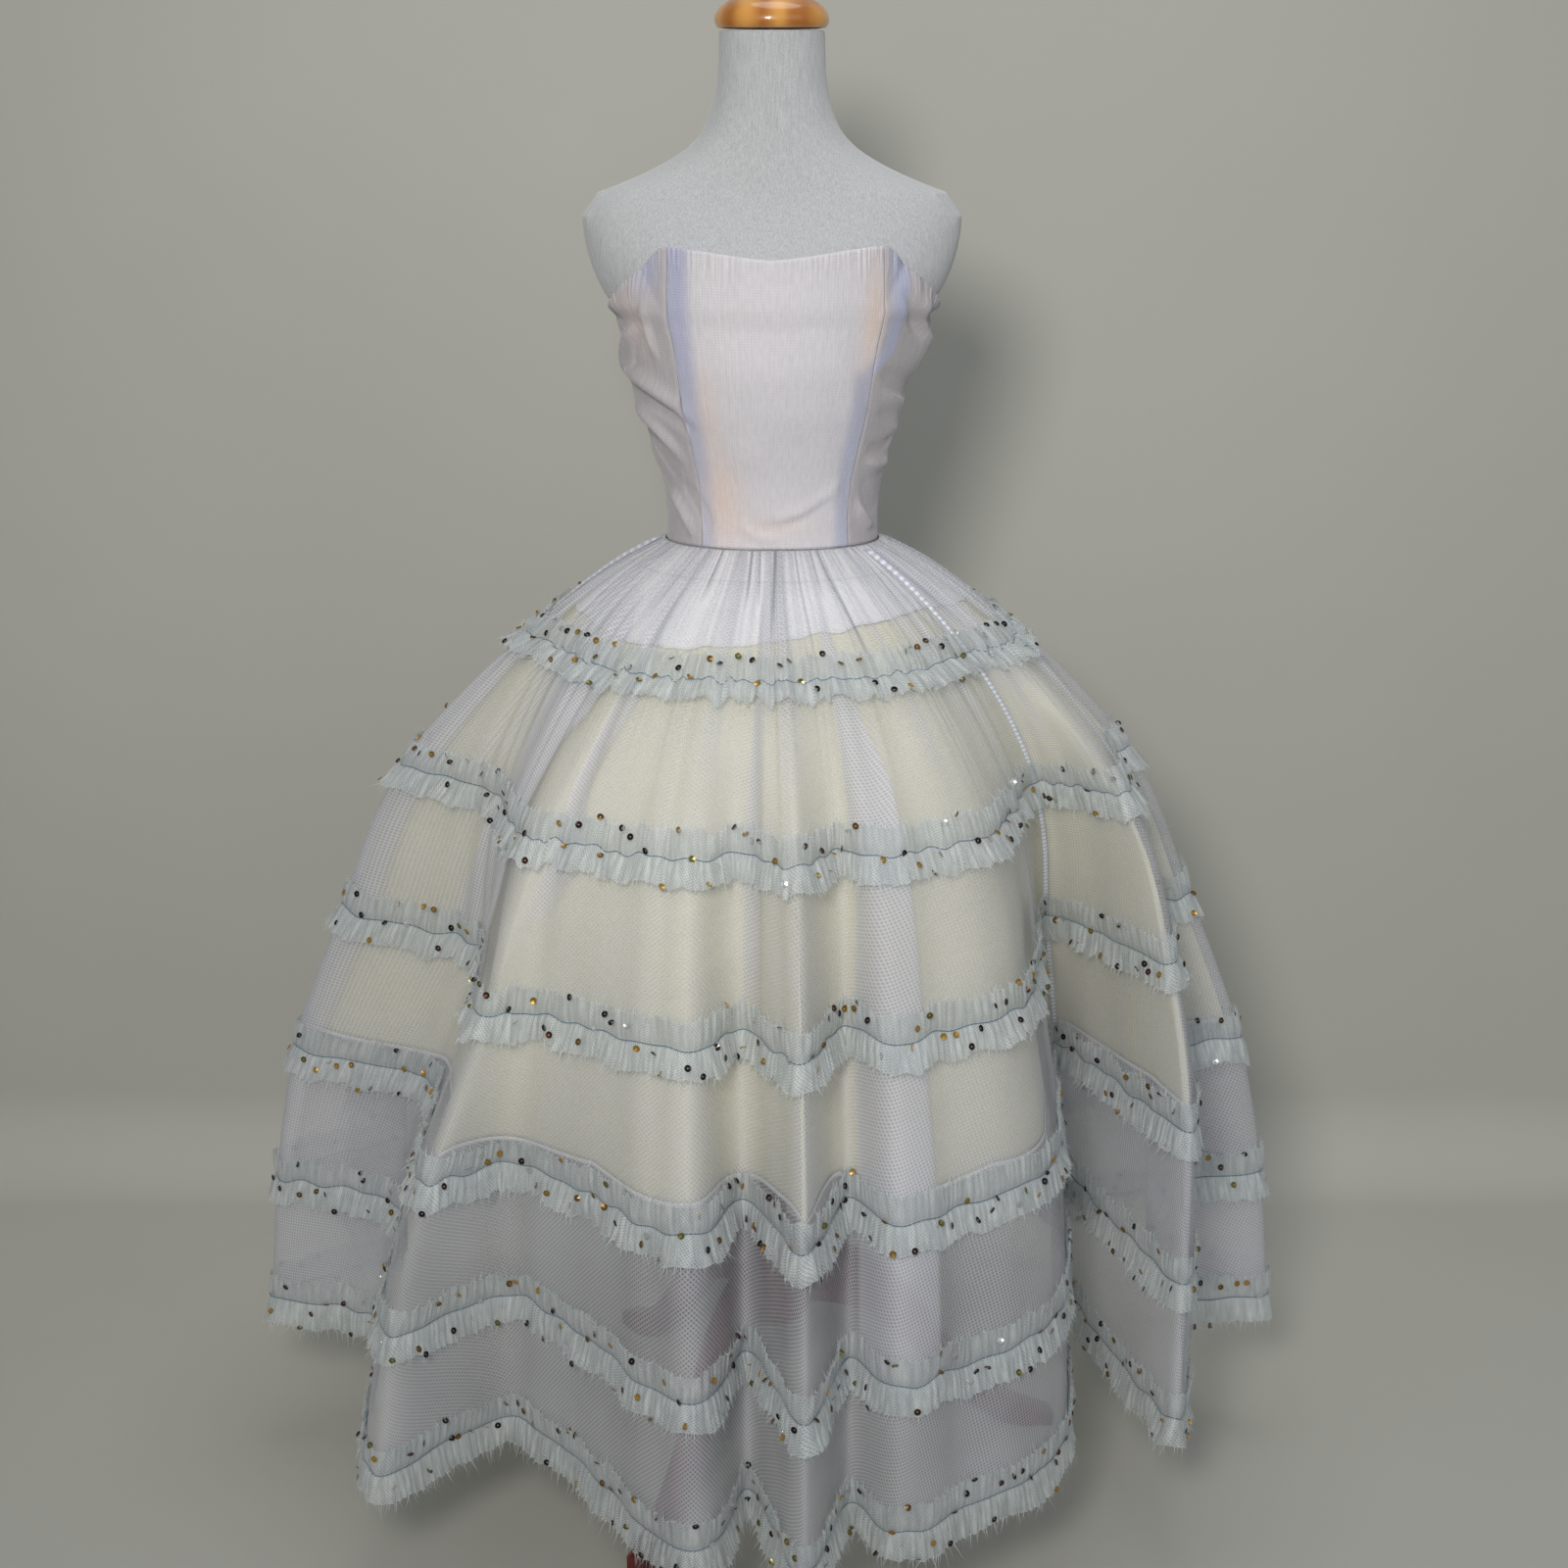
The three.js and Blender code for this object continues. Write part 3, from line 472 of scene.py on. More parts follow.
# Cotton jersey: light grey, heathered, with upright ribs of stitches 2 mm apart
def makeJersey():
    material = newMaterial("formHeatheredJersey", {
        "Roughness": 0.85, "Specular IOR Level": 0.25, "Sheen Weight": 0.3, "Sheen Roughness": 0.6})
    place = addNode(material, "TexCoord", output="Object")
    upright = addNode(material, "Mapping", {"Scale": (700, 700, 45)}, {"Vector": place})
    ribs = addNode(material, "TexNoise", {"Scale": 1, "Detail": 2, "Roughness": 0.6},
                   {"Vector": upright})
    flecks = addNode(material, "TexNoise", {"Scale": 900, "Detail": 2}, {"Vector": place})
    both = addNode(material, "Math", {"operation": "ADD"}, {0: ribs, 1: flecks})
    shade = addNode(material, "MapRange", {"From Min": 0.7, "From Max": 1.3}, {"Value": both})
    tint = addNode(material, "Mix", {"data_type": "RGBA", 6: colour("#aeb2b5"), 7: colour("#ced1d3")},
                   {0: shade}, output=2)
    bump = addNode(material, "Bump", {"Strength": 0.3, "Distance": 0.0004}, {"Height": ribs})
    return linkShader(material, Base_Color=tint, Normal=bump)


# Turned wood: rings about the upright axis make the long grain; varnish gives a hard clear shine
def makeWood(name, dark, light, coat, ringScale, grainScale):
    material = newMaterial(name, {
        "Roughness": 0.38, "Coat Weight": coat, "Coat Roughness": 0.08, "Specular IOR Level": 0.5})
    place = addNode(material, "TexCoord", output="Object")
    stretched = addNode(material, "Mapping", {"Scale": grainScale}, {"Vector": place})
    rings = addNode(material, "TexWave",
                    {"wave_type": "BANDS", "bands_direction": "X", "Scale": ringScale, "Distortion": 6,
                     "Detail": 3, "Detail Scale": 1.4}, {"Vector": stretched}, output="Fac")
    pores = addNode(material, "TexNoise", {"Scale": 420, "Detail": 3}, {"Vector": stretched})
    mixed = addNode(material, "Math", {"operation": "MULTIPLY"}, {0: rings, 1: pores})
    tint = addNode(material, "Mix", {"data_type": "RGBA", 6: colour(dark), 7: colour(light)}, {0: rings},
                   output=2)
    bump = addNode(material, "Bump", {"Strength": 0.08, "Distance": 0.0003}, {"Height": mixed})
    return linkShader(material, Base_Color=tint, Normal=bump)


# Pressed plastic film with a metal shine; its colour differs from sequin to sequin
def makeSequinFilm():
    material = newMaterial("sequinPressedFilm", {"Metallic": 0.75, "Roughness": 0.26, "Coat Weight": 0.4})
    tone = addNode(material, "Attribute", {"attribute_name": "tone"})
    place = addNode(material, "TexCoord", output="Object")
    scratches = addNode(material, "TexNoise", {"Scale": 900, "Detail": 2}, {"Vector": place})
    rough = addNode(material, "MapRange", {"To Min": 0.15, "To Max": 0.42},
                    {"Value": scratches})
    return linkShader(material, Base_Color=tone, Roughness=rough)


# Spun polyester sewing thread: two twisted strands, softly shining
def makeThread(name, deep, pale):
    material = newMaterial(name, {"Roughness": 0.55, "Sheen Weight": 0.3})
    place = addNode(material, "TexCoord", output="Object")
    twist = addNode(material, "TexNoise", {"Scale": 700, "Detail": 2}, {"Vector": place})
    tint = addNode(material, "Mix", {"data_type": "RGBA", 6: colour(deep), 7: colour(pale)}, {0: twist},
                   output=2)
    bump = addNode(material, "Bump", {"Strength": 0.3, "Distance": 0.0003}, {"Height": twist})
    return linkShader(material, Base_Color=tint, Normal=bump)


# Woven seam tape: light blue, caught down by a stitch across it every 4.5 mm
def makeTape():
    material = newMaterial("seamWovenTape", {"Roughness": 0.5, "Sheen Weight": 0.3})
    uv = addNode(material, "UVMap", {"uv_map": "cut"})
    ribs = addNode(material, "TexWave",
                   {"wave_type": "BANDS", "bands_direction": "Y", "Scale": math.pi / 10 / 0.0045,
                    "Distortion": 1}, {"Vector": uv}, output="Fac")
    loops = addNode(material, "TexNoise", {"Scale": 260, "Detail": 2}, {"Vector": uv})
    mixed = addNode(material, "Math", {"operation": "MULTIPLY"}, {0: ribs, 1: loops})
    tint = addNode(material, "Mix", {"data_type": "RGBA", 6: colour("#c2cfe9"), 7: colour("#ffffff")},
                   {0: ribs}, output=2)
    bump = addNode(material, "Bump", {"Strength": 0.4, "Distance": 0.0005}, {"Height": mixed})
    return linkShader(material, Base_Color=tint, Normal=bump)


overskirtNet = makeOverskirtNet()
ruffleNet = makeRuffleNet()
creamTaffeta = makeTaffeta("underskirtCreamTaffeta", "#dfddc2", "#f1efdc", 0.15)
whiteTaffeta = makeTaffeta("yokeWhiteTaffeta", "#f0f1f5", "#ffffff", 0.25)
paleBinding = makeTaffeta("hemPaleBinding", "#e9eaf0", "#ffffff", 0.3)
chiffon = makeChiffon()
jersey = makeJersey()
varnishedBeech = makeWood("capVarnishedBeech", "#b06a1c", "#e0a04a", 0.9, 9, (1, 1, 0.25))
stainedMahogany = makeWood("standStainedMahogany", "#4a130f", "#6b2018", 0.4, 14, (1, 1, 0.3))
sequinFilm = makeSequinFilm()
# the stitch thread is blue, and its colours are painted darker still as shade of the groove it lies in
blueThreadAndGrooveShade = makeThread("ruffleBlueThreadAndGrooveShade", "#435a6c", "#7892a4")
seamTape = makeTape()
print("materials made")


# Seam tapes down the three overskirt seams
tape = {"halfWidth": 3.6, "above": 1.1, "thickness": 0.4, "columns": 5, "drops": np.arange(3, 864, 4.0)}


def makeTapes():
    made = {}
    for name, place in skirt["seams"].items():
        drop = np.repeat(tape["drops"][:, None], tape["columns"], axis=1)
        middle = np.full(drop.shape, float(place))
        along = skirtPoints(middle + 0.01, drop) - skirtPoints(middle - 0.01, drop)
        step = 0.02 / np.linalg.norm(along, axis=-1)
        offsets = np.linspace(-1, 1, tape["columns"])[None, :] * tape["halfWidth"]
        above = tape["above"] * (1 - 0.5 * np.abs(offsets / tape["halfWidth"]))
        uv = np.stack([np.broadcast_to(offsets, drop.shape) * mm, drop * mm], axis=-1)
        piece = clothPiece("seamTape_" + name, netPoints(middle + offsets * step, drop, above), uv)
        applyModifier(piece, "SOLIDIFY", thickness=tape["thickness"] * mm, offset=1)
        made[name] = finish(piece, seamTape)
    return made


seamTapes = makeTapes()
print("seam tapes made")


# Overskirt: three gores of net gathered into the waist, from seam to seam
overskirt = {
    "gores": [
        {"name": "overskirtFront", "node": "skirt_front", "from": -1, "to": 11, "tape": "right"},
        {"name": "overskirtBackRight", "node": "skirt_back_right", "from": 11, "to": 21, "tape": "back"},
        {"name": "overskirtBackLeft", "node": "skirt_back_left", "from": 21, "to": 27, "tape": "left"},
    ],
    "columnsRound": 1500,
    "drops": [0, 2, *range(5, 60, 5), *range(60, 240, 9), *range(240, hemDrop, 13), hemDrop],
    # how much net lies together at each drop: little over the white yoke, most at the hem
    "layers": [(0, 0.9), (6, 0.26), (24, 0.3), (70, 0.65), (160, 0.9), (400, 1.0), (561, 1.25), (700, 1.42),
               (868, 1.7)],
    # tucks beside the gathers: how many, their widths as shares of a turn, how far down they run
    "tucks": 52,
    "tuckWidths": (0.0007, 0.0022),
    "tuckDrops": (14, 120),
    # how dark the painted shade in the tucks is
    "tuckShade": 0.85,
    # narrow folds that start at the waist: how many, their widths as shares of a turn, how far down they run
    "waistFolds": 34,
    "foldWidths": (0.002, 0.008),
    "foldDrops": (30, 220),
    # bands where the net is folded double: how many more layers lie in one, and its left and right edge
    # along the fold list by drop
    "bandStrength": 1.35,
    "doubledBands": [
        (1.3, [(30, 7.55, 7.8), (100, 7.41, 8.15), (190, 7.38, 8.77), (258, 7.45, 8.78), (380, 7.3, 8.8),
               (745, 7.3, 8.85)]),
        (1.5, [(30, 1.2, 1.6), (122, 1.25, 2.13), (165, 1.26, 1.85), (290, 0.9, 1.8), (415, 0.71, 1.5)]),
        (1.1, [(30, 2.6, 2.9), (110, 2.8, 3.18), (186, 2.76, 3.04), (241, 2.82, 3.16), (322, 2.48, 2.9)]),
        (0.8, [(20, 10.6, 11.6), (90, 10.9, 11.8), (150, 11.2, 11.7)]),
        (0.9, [(20, 12.2, 12.5), (240, 12.3, 12.9), (600, 12.6, 13.0)]),
        (1.0, [(20, 5.3, 5.5), (120, 5.2, 5.45), (400, 5.0, 5.3)]),
        (1.0, [(20, 27.9, 28.4), (400, 27.8, 28.3), (760, 27.9, 28.2)]),
        (1.1, [(20, 14.3, 14.8), (300, 14.2, 14.9), (640, 14.3, 14.7)]),
        (1.0, [(20, 17.8, 18.3), (300, 17.7, 18.4), (560, 17.9, 18.3)]),
        (1.2, [(20, 20.3, 20.6), (240, 20.2, 20.7), (420, 20.3, 20.6)]),
        (1.0, [(20, 22.4, 22.8), (300, 22.3, 22.9), (640, 22.5, 22.8)]),
        (1.1, [(20, 25.1, 25.5), (300, 25.0, 25.6), (560, 25.2, 25.5)]),
    ],
}


# Narrow tucks that start at the waist and fade out below it
def netTucks(turn, drop):
    total = 0 * turn
    rng = np.random.default_rng(24)
    for k in range(overskirt["tucks"]):
        middle, width = (k + rng.uniform(0, 1)) / overskirt["tucks"], rng.uniform(*overskirt["tuckWidths"])
        lean, bottom, depth = rng.normal(0, 0.006), rng.uniform(*overskirt["tuckDrops"]), rng.uniform(0.4, 1)
        away = np.abs(np.mod(turn - middle - lean * drop / 100 + 0.5, 1) - 0.5) / width
        total = np.maximum(total, depth * np.exp(-away**2) * np.clip((bottom - drop) / (0.5 * bottom), 0, 1))
    return total


# How many layers of net lie together at each point
def netLayers(place, turn, drop):
    layers = smoothLine(overskirt["layers"], drop)
    layers = layers * (1 + 0.12 * unevenWaves(turn, 30, 120, 21) * np.clip(1 - drop / 400, 0.25, 1))
    layers = layers * (1 + 0.2 * unevenWaves(turn, 8, 46, 23) * np.clip((drop - 380) / 200, 0, 1))
    rng = np.random.default_rng(22)
    count = overskirt["waistFolds"]
    for k in range(count):
        middle, width = (k + rng.uniform(0.1, 0.9)) / count, rng.uniform(*overskirt["foldWidths"])
        bottom, more = rng.uniform(*overskirt["foldDrops"]), rng.uniform(0.4, 1.4)
        away = np.abs(np.mod(turn - middle + 0.5, 1) - 0.5) / width
        layers = layers + more * np.exp(-away**4) * np.clip((bottom - drop) / (0.6 * bottom), 0, 1)
    # the cloth stands on edge along a gather's crest, so more threads lie one behind another there
    layers = layers + 1.2 * gatherCrest(turn)**5 * np.clip(1 - drop / 110, 0, 1) + 1.6 * netTucks(turn, drop)
    for more, edges in overskirt["doubledBands"]:
        start, end = smoothLine(edges, drop), smoothLine(edges, drop, 2)
        inwards = np.mod(place - start + foldPlaces / 2, foldPlaces) - foldPlaces / 2
        inside = np.clip(inwards / 0.04 + 0.5, 0, 1) * np.clip((end - start - inwards) / 0.06 + 0.5, 0, 1)
        band = overskirt["bandStrength"] * more * inside * np.clip((drop - edges[0][0]) / 40, 0, 1)
        layers = layers + band * np.clip((edges[-1][0] - drop) / 60, 0, 1)
    return layers


def makeOverskirt():
    for gore in overskirt["gores"]:
        start, end = roundOf(gore["from"]), roundOf(gore["to"])
        columns = int(round(overskirt["columnsRound"] * (end - start)))
        turn, drop = np.meshgrid(np.linspace(start, end, columns + 1), np.array(overskirt["drops"], float))
        place = placeOf(turn)
        marks = {"layers": netLayers(place, turn, drop),
                 # the tucks' painted shade, darkening the net's colour
                 "paintedTuckShade": overskirt["tuckShade"] * netTucks(turn, drop)}
        uv = cutPlaces(turn, drop, (start + end) / 2)
        piece = clothPiece(gore["name"], netPoints(place, drop), uv, marks)
        finish(piece, overskirtNet, [gore["node"]])


makeOverskirt()
print("overskirt made")


# Underskirt: a fitted white yoke with a wavy stitched edge, and two cream panels with a scalloped hem
underskirt = {
    "thickness": 0.7,
    # how far the cloth lies inside the net at each drop
    "inside": [(0, 1.8), (30, 3.4), (56, 4.4), (98, 6.6), (238, 9.6), (600, 9.6)],
    "panels": [
        {"name": "underskirtFront", "node": "underskirt_front", "from": -1, "to": 15},
        {"name": "underskirtBack", "node": "underskirt_back", "from": 15, "to": 27},
    ],
    "top": 50,
    "bottom": 543,
    "scallops": 26,
    "scallopDepth": 7,
    "columnsRound": 560,
    "yokeTop": 0.6,
    # the yoke's wavy edge: its middle drop, how far it swings twice round, and its small waves
    "yokeEdge": 62,
    "yokeSwing": 10,
    "yokeWaveDepth": 1.6,
    # the doubled band at the yoke's top
    "bandEdge": 20,
    "yokeColumns": 760,
    "edgingColumns": 1100,
}


def underPoints(place, drop, outwards):
    inside = smoothLine(underskirt["inside"], drop)
    ripple = 0.8 * unevenWaves(roundOf(place), 20, 60, 31) * np.clip(drop / 150, 0, 1)
    return skirtPoints(place, drop) + skirtNormals(place, drop) * (outwards + ripple - inside)[..., None]


# Points and flat cut of underskirt cloth between two edges, which are given as drops round the waist
def underGrid(turns, rowCount, top, bottom, outwards, middle):
    turn, share = np.meshgrid(turns, np.linspace(0, 1, rowCount))
    drop = top(turn) + (bottom(turn) - top(turn)) * share
    return underPoints(placeOf(turn), drop, outwards), cutPlaces(turn, drop, middle)


# An edge that lies at the same drop all round
def level(drop):
    return lambda turn: drop + 0 * turn


def scallopEdge(turn):
    wave = np.abs(np.sin(np.pi * (underskirt["scallops"] * turn + 0.25 * unevenWaves(turn, 3, 9, 32))))
    return underskirt["bottom"] - underskirt["scallopDepth"] * (1 - wave)


def yokeEdge(turn):
    swing = underskirt["yokeSwing"] * np.cos(4 * np.pi * (turn - 0.12))
    return underskirt["yokeEdge"] + swing + underskirt["yokeWaveDepth"] * unevenWaves(turn, 14, 48, 33)


# A narrow rounded edging that follows an edge all round
def makeEdging(name, edge, halfWidth, outwards):
    turns = np.linspace(0, 1, underskirt["edgingColumns"], endpoint=False)
    turn, share = np.meshgrid(turns, np.linspace(-1, 1, 5))
    drop = edge(turn) + halfWidth * (share - 0.4)
    uv = np.stack([turn * 3.2, drop * mm], axis=-1)
    puff = outwards + 0.6 * (1 - share**2)
    piece = clothPiece(name, underPoints(placeOf(turn), drop, puff), uv, closed=True)
    return finish(piece, paleBinding)


def makeUnderskirt():
    binding = makeEdging("underskirtBinding", scallopEdge, 2.2, 0.5)
    stitching = makeEdging("yokeEdgeStitching", yokeEdge, 1.1, 1.0)
    for panel in underskirt["panels"]:
        start, end = roundOf(panel["from"]), roundOf(panel["to"])
        turns = np.linspace(start, end, int(round(underskirt["columnsRound"] * (end - start))) + 1)
        grid, uv = underGrid(turns, 60, level(underskirt["top"]), scallopEdge, 0, (start + end) / 2)
        piece = clothPiece(panel["name"], grid, uv)
        applyModifier(piece, "SOLIDIFY", thickness=underskirt["thickness"] * mm, offset=-1)
        finish(piece, creamTaffeta, [panel["node"]])
    turns = np.linspace(0, 1, underskirt["yokeColumns"], endpoint=False)
    for name, bottom, outwards, replaced, sewn in (
            ("yokeLower", yokeEdge, 0.9, ["underskirt_yoke"], [stitching]),
            ("yokeBand", level(underskirt["bandEdge"]), 1.5, [], [])):
        grid, uv = underGrid(turns, 16, level(underskirt["yokeTop"]), bottom, outwards, 0.5)
        piece = clothPiece(name, grid, uv, closed=True)
        finish(piece, whiteTaffeta, replaced)
        wide = np.interp(bottom(turns).mean(), profileDrops, profileLengths) * mm


makeUnderskirt()
print("underskirt made")


# Ruffles: gathered strips of net, stitched down along their middle, both edges frayed
ruffle = {
    "drops": [98, 238, 400, 561, 717, 868],
    "halfWidth": 28,
    "above": 0.8,
    "puff": 2.6,
    # how far the upper and the lower edge stand off
    "flare": (2.2, 5.0),
    # pleats: how far apart, and their height at the stitch line and at the edges
    "pleat": 9,
    "pleatHeight": (0.2, 2.1),
    "fineColumn": 1.5,
    "rowShares": [-1, -0.68, -0.36, -0.1, 0, 0.1, 0.36, 0.68, 1],
    # how far the stitch line wanders up and down
    "wander": 3.0,
    "fringeStep": 1.5,
    # most threads are short and a few are long, and they are longer at the hem
    "fringeLength": (1.5, 12.0),
    "hemFringe": 1.5,
    "threadHalfWidth": 0.45,
    "fullness": 1.3,
    "cutWidth": 58,
}


def dropAlong(drop, distance):
    length = np.interp(drop, profileDrops, profileLengths) + distance
    beyond = np.maximum(length - clothLength, 0)
    return np.interp(length, profileLengths, profileDrops) + beyond


# Points of one ruffle: share runs from -1 at the upper edge over the stitch line to 1 at the lower edge
def ruffleSurface(index, turn, share, run):
    drop = ruffle["drops"][index]
    seed = 40 + 10 * index
    uneven = 0.09 * unevenWaves(turn, 30, 90, seed) + 0.06 * unevenWaves(turn, 150, 260, seed + 5)
    wander = ruffle["wander"] * unevenWaves(turn, 25, 110, seed + 4)
    if drop == hemDrop:
        wander = wander - ruffle["wander"]
    low = dropAlong(drop, share * ruffle["halfWidth"] * (1 + uneven) + wander)
    side = np.where(share < 0, 1, 2)
    across = np.abs(share)
    phase = run / ruffle["pleat"] + 0.6 * unevenWaves(turn, 40, 140, seed + 1) + 0.12 * side
    rise = np.sin(2 * np.pi * phase) + 0.5 * np.sin(2 * np.pi * (1.7 * phase + 0.3 * side))
    flat, full = ruffle["pleatHeight"]
    size = flat + (full - flat) * across
    loose = np.where(share < 0, unevenWaves(turn, 14, 60, seed + 2), unevenWaves(turn, 14, 60, seed + 3))
    flare = np.where(share < 0, *ruffle["flare"]) * across**2 * (1 + 0.8 * loose)
    # the strip rises steeply beside the stitching, which lies in a groove
    puff = ruffle["puff"] * np.sin(np.pi * np.minimum(across, 1)**0.6)
    above = ruffle["above"] + np.maximum(flare, 0) + puff + size * (0.9 + 0.6 * rise)
    place, onCloth = placeOf(turn), np.minimum(low, hemDrop)
    base = skirtPoints(place, onCloth)
    base[..., 2] -= np.maximum(low - hemDrop, 0)
    lifted = gatherHeight(turn, onCloth) + above
    return base + skirtNormals(place, onCloth) * lifted[..., None]


# The length round the skirt at a drop, as a table by turn
def ringRun(drop):
    turn = np.linspace(0, 1, 6001)
    ring = netPoints(placeOf(turn), np.full(turn.shape, float(drop)))
    return turn, np.concatenate([[0], np.cumsum(np.linalg.norm(np.diff(ring, axis=0), axis=1))])


# Frayed threads along an edge: each a narrow triangle from inside the strip to a leaning tip
def frayedThreads(ends, inner, longer, rng):
    along = unit(np.roll(ends, -1, axis=0) - ends)
    out = unit(ends - inner)
    shortest, longest = ruffle["fringeLength"]
    length = longer * (shortest + (longest - shortest) * rng.random((len(ends), 1))**1.8)
    lean = rng.normal(0, 0.2, (len(ends), 3))
    direction = out + along * lean[:, :1] * 1.4 + lean * 0.5
    roots, side = ends - out * 1.5, along * ruffle["threadHalfWidth"]
    points = np.stack([roots - side, roots + side, ends + direction * length], axis=1).reshape(-1, 3)
    return points, np.repeat(rng.random((len(ends), 1, 2)) * 0.2, 3, axis=1).reshape(-1, 2)


def makeRuffle(index):
    drop = ruffle["drops"][index]
    turns, runs = ringRun(drop)
    length = runs[-1]
    rng = np.random.default_rng(400 + index)
    columns = int(length / ruffle["fineColumn"])
    run = np.linspace(0, length, columns, endpoint=False)
    turnGrid, shareGrid = np.meshgrid(np.interp(run, runs, turns), np.array(ruffle["rowShares"]))
    runGrid = np.broadcast_to(run, turnGrid.shape)
    points = [ruffleSurface(index, turnGrid, shareGrid, runGrid).reshape(-1, 3)]
    faces = gridFaces(*shareGrid.shape, closed=True)
    uvs = [np.stack([runGrid * mm, shareGrid * 0.025], axis=-1).reshape(-1, 2)]
    # both edges are worn, and the upper half lies flatter and lets more through
    worn = 0.7 * np.clip((np.abs(shareGrid) - 0.68) / 0.32, 0, 1)
    edges = [np.maximum(worn, np.where(shareGrid < -0.05, 0.5, 0)).ravel()]
    fringeRun = np.arange(0, length - ruffle["fringeStep"], ruffle["fringeStep"])
    fringeTurn = np.interp(fringeRun + rng.uniform(-0.5, 0.5, len(fringeRun)), runs, turns)
    for side in (-1, 1):
        ends, inner = [ruffleSurface(index, fringeTurn, np.full(fringeTurn.shape, share * side), fringeRun)
                       for share in (1.0, 0.8)]
        longer = ruffle["hemFringe"] if drop == hemDrop and side > 0 else 1
        threads, threadUv = frayedThreads(ends, inner, longer, rng)
        start = sum(len(part) for part in points)
        faces.extend(np.arange(start, start + len(threads)).reshape(-1, 3).tolist())
        points.append(threads)
        uvs.append(threadUv)
        edges.append(np.tile([0.0, 0.0, 0.4], len(ends)))
    piece = newPiece("ruffle%dNet" % (index + 1), np.concatenate(points) * mm, faces, np.concatenate(uvs),
                     {"edge": np.concatenate(edges)})
    finish(piece, ruffleNet, ["ruffle_%d" % (index + 1)])
    return piece, turns, runs


# Sequin: a cupped ring punched from film, modelled once
sequin = {
    "radius": 3.4, "hole": 0.85, "cup": 0.6, "thickness": 0.2, "sides": 10,
    "apart": 15, "lift": 1.7, "tilt": 0.45,
    # where they lie across a ruffle, from its upper edge at -1 to its lower edge at 1
    "shares": [-0.9, -0.6, -0.12, 0.2, 0.55, 0.9],
    "tones": ["#21110d", "#1c1210", "#4a2a16", "#7d5c24", "#a8853b", "#7a7338", "#dcdcd8", "#2c1c15",
              "#c39a45"],
}


def makeSequinPattern():
    deselectAll()
    bpy.ops.mesh.primitive_circle_add(vertices=sequin["sides"], radius=sequin["radius"] * mm,
                                      fill_type="NGON")
    pattern = bpy.context.object
    bpy.ops.object.mode_set(mode="EDIT")
    bpy.ops.mesh.select_all(action="SELECT")
    bpy.ops.mesh.inset(thickness=(sequin["radius"] - sequin["hole"]) * mm, depth=-sequin["cup"] * mm)
    bpy.ops.mesh.delete(type="FACE")
    bpy.ops.object.mode_set(mode="OBJECT")
    applyModifier(pattern, "SOLIDIFY", thickness=sequin["thickness"] * mm, offset=0)
    return pattern


# Stitch: a short bar of thread, its ends narrowed and turned down into the cloth, modelled once
stitch = {"length": 3.6, "radius": 0.65, "end": 0.5, "apart": 4.4, "lift": 0.3}


def makeStitchPattern():
    deselectAll()
    bpy.ops.mesh.primitive_cylinder_add(vertices=5, radius=stitch["radius"] * mm, depth=stitch["length"] * mm,
                                        rotation=(0, math.pi / 2, 0))
    pattern = bpy.context.object
    bpy.ops.object.transform_apply(location=True, rotation=True, scale=True)
    for side in (-1, 1):
        end = side * stitch["length"] / 2 * mm
        editFaces(pattern, lambda normal: side * normal.x > 0.9)
        bpy.ops.mesh.extrude_region_move(TRANSFORM_OT_translate={
            "value": (side * stitch["end"] * mm, 0, -stitch["end"] * mm)})
        bpy.ops.transform.resize(value=(1, 0.4, 0.4), center_override=(end, 0, -stitch["end"] * mm))
        bpy.ops.object.mode_set(mode="OBJECT")
    return pattern


# Places on a ruffle, with axes along it, down it and out of it, tilted a little at random
def ruffleAxes(index, turn, share, run, tilt, rng):
    here = ruffleSurface(index, turn, share, run)
    x = unit(ruffleSurface(index, turn + 0.0004, share, run) - here)
    inner, outer = [ruffleSurface(index, turn, np.clip(share + step, -1, 1), run) for step in (0.06, -0.06)]
    z = unit(np.cross(inner - outer, x))
    if tilt:
        z = unit(z + rng.normal(0, tilt, z.shape))
        x = unit(x - z * np.sum(x * z, axis=1, keepdims=True))
    return here, np.stack([x, np.cross(z, x), z], axis=1)


def makeTrim(index, turns, runs, sequinPattern, stitchPattern):
    rng = np.random.default_rng(800 + index)
    length = runs[-1]
    count = int(length / sequin["apart"])
    run = np.mod((np.arange(count) + rng.uniform(-0.38, 0.38, count)) * length / count, length)
    share = np.clip(rng.choice(sequin["shares"], count) + rng.uniform(-0.14, 0.14, count), -0.97, 0.97)
    origins, axes = ruffleAxes(index, np.interp(run, runs, turns), share, run, sequin["tilt"], rng)
    origins = origins + axes[:, 2] * sequin["lift"]
    tones = np.array([colour(sequin["tones"][i]) for i in rng.integers(0, len(sequin["tones"]), count)])
    sequins = setCopies("ruffle%dSequins" % (index + 1), sequinPattern, origins, axes, tones)
    finish(sequins, sequinFilm)
    run = np.arange(0, length - stitch["apart"], stitch["apart"])
    origins, axes = ruffleAxes(index, np.interp(run, runs, turns), np.zeros(run.shape), run, 0, rng)
    origins = origins + axes[:, 2] * stitch["lift"]
    stitches = setCopies("ruffle%dStitches" % (index + 1), stitchPattern, origins, axes)
    finish(stitches, blueThreadAndGrooveShade)
    return [sequins, stitches]


sequinPattern = makeSequinPattern()
stitchPattern = makeStitchPattern()
for ruffleIndex in range(len(ruffle["drops"])):
    strip, turnTable, runTable = makeRuffle(ruffleIndex)
    trim = makeTrim(ruffleIndex, turnTable, runTable, sequinPattern, stitchPattern)
bpy.data.objects.remove(sequinPattern)
bpy.data.objects.remove(stitchPattern)
print("ruffles, sequins and stitches made")


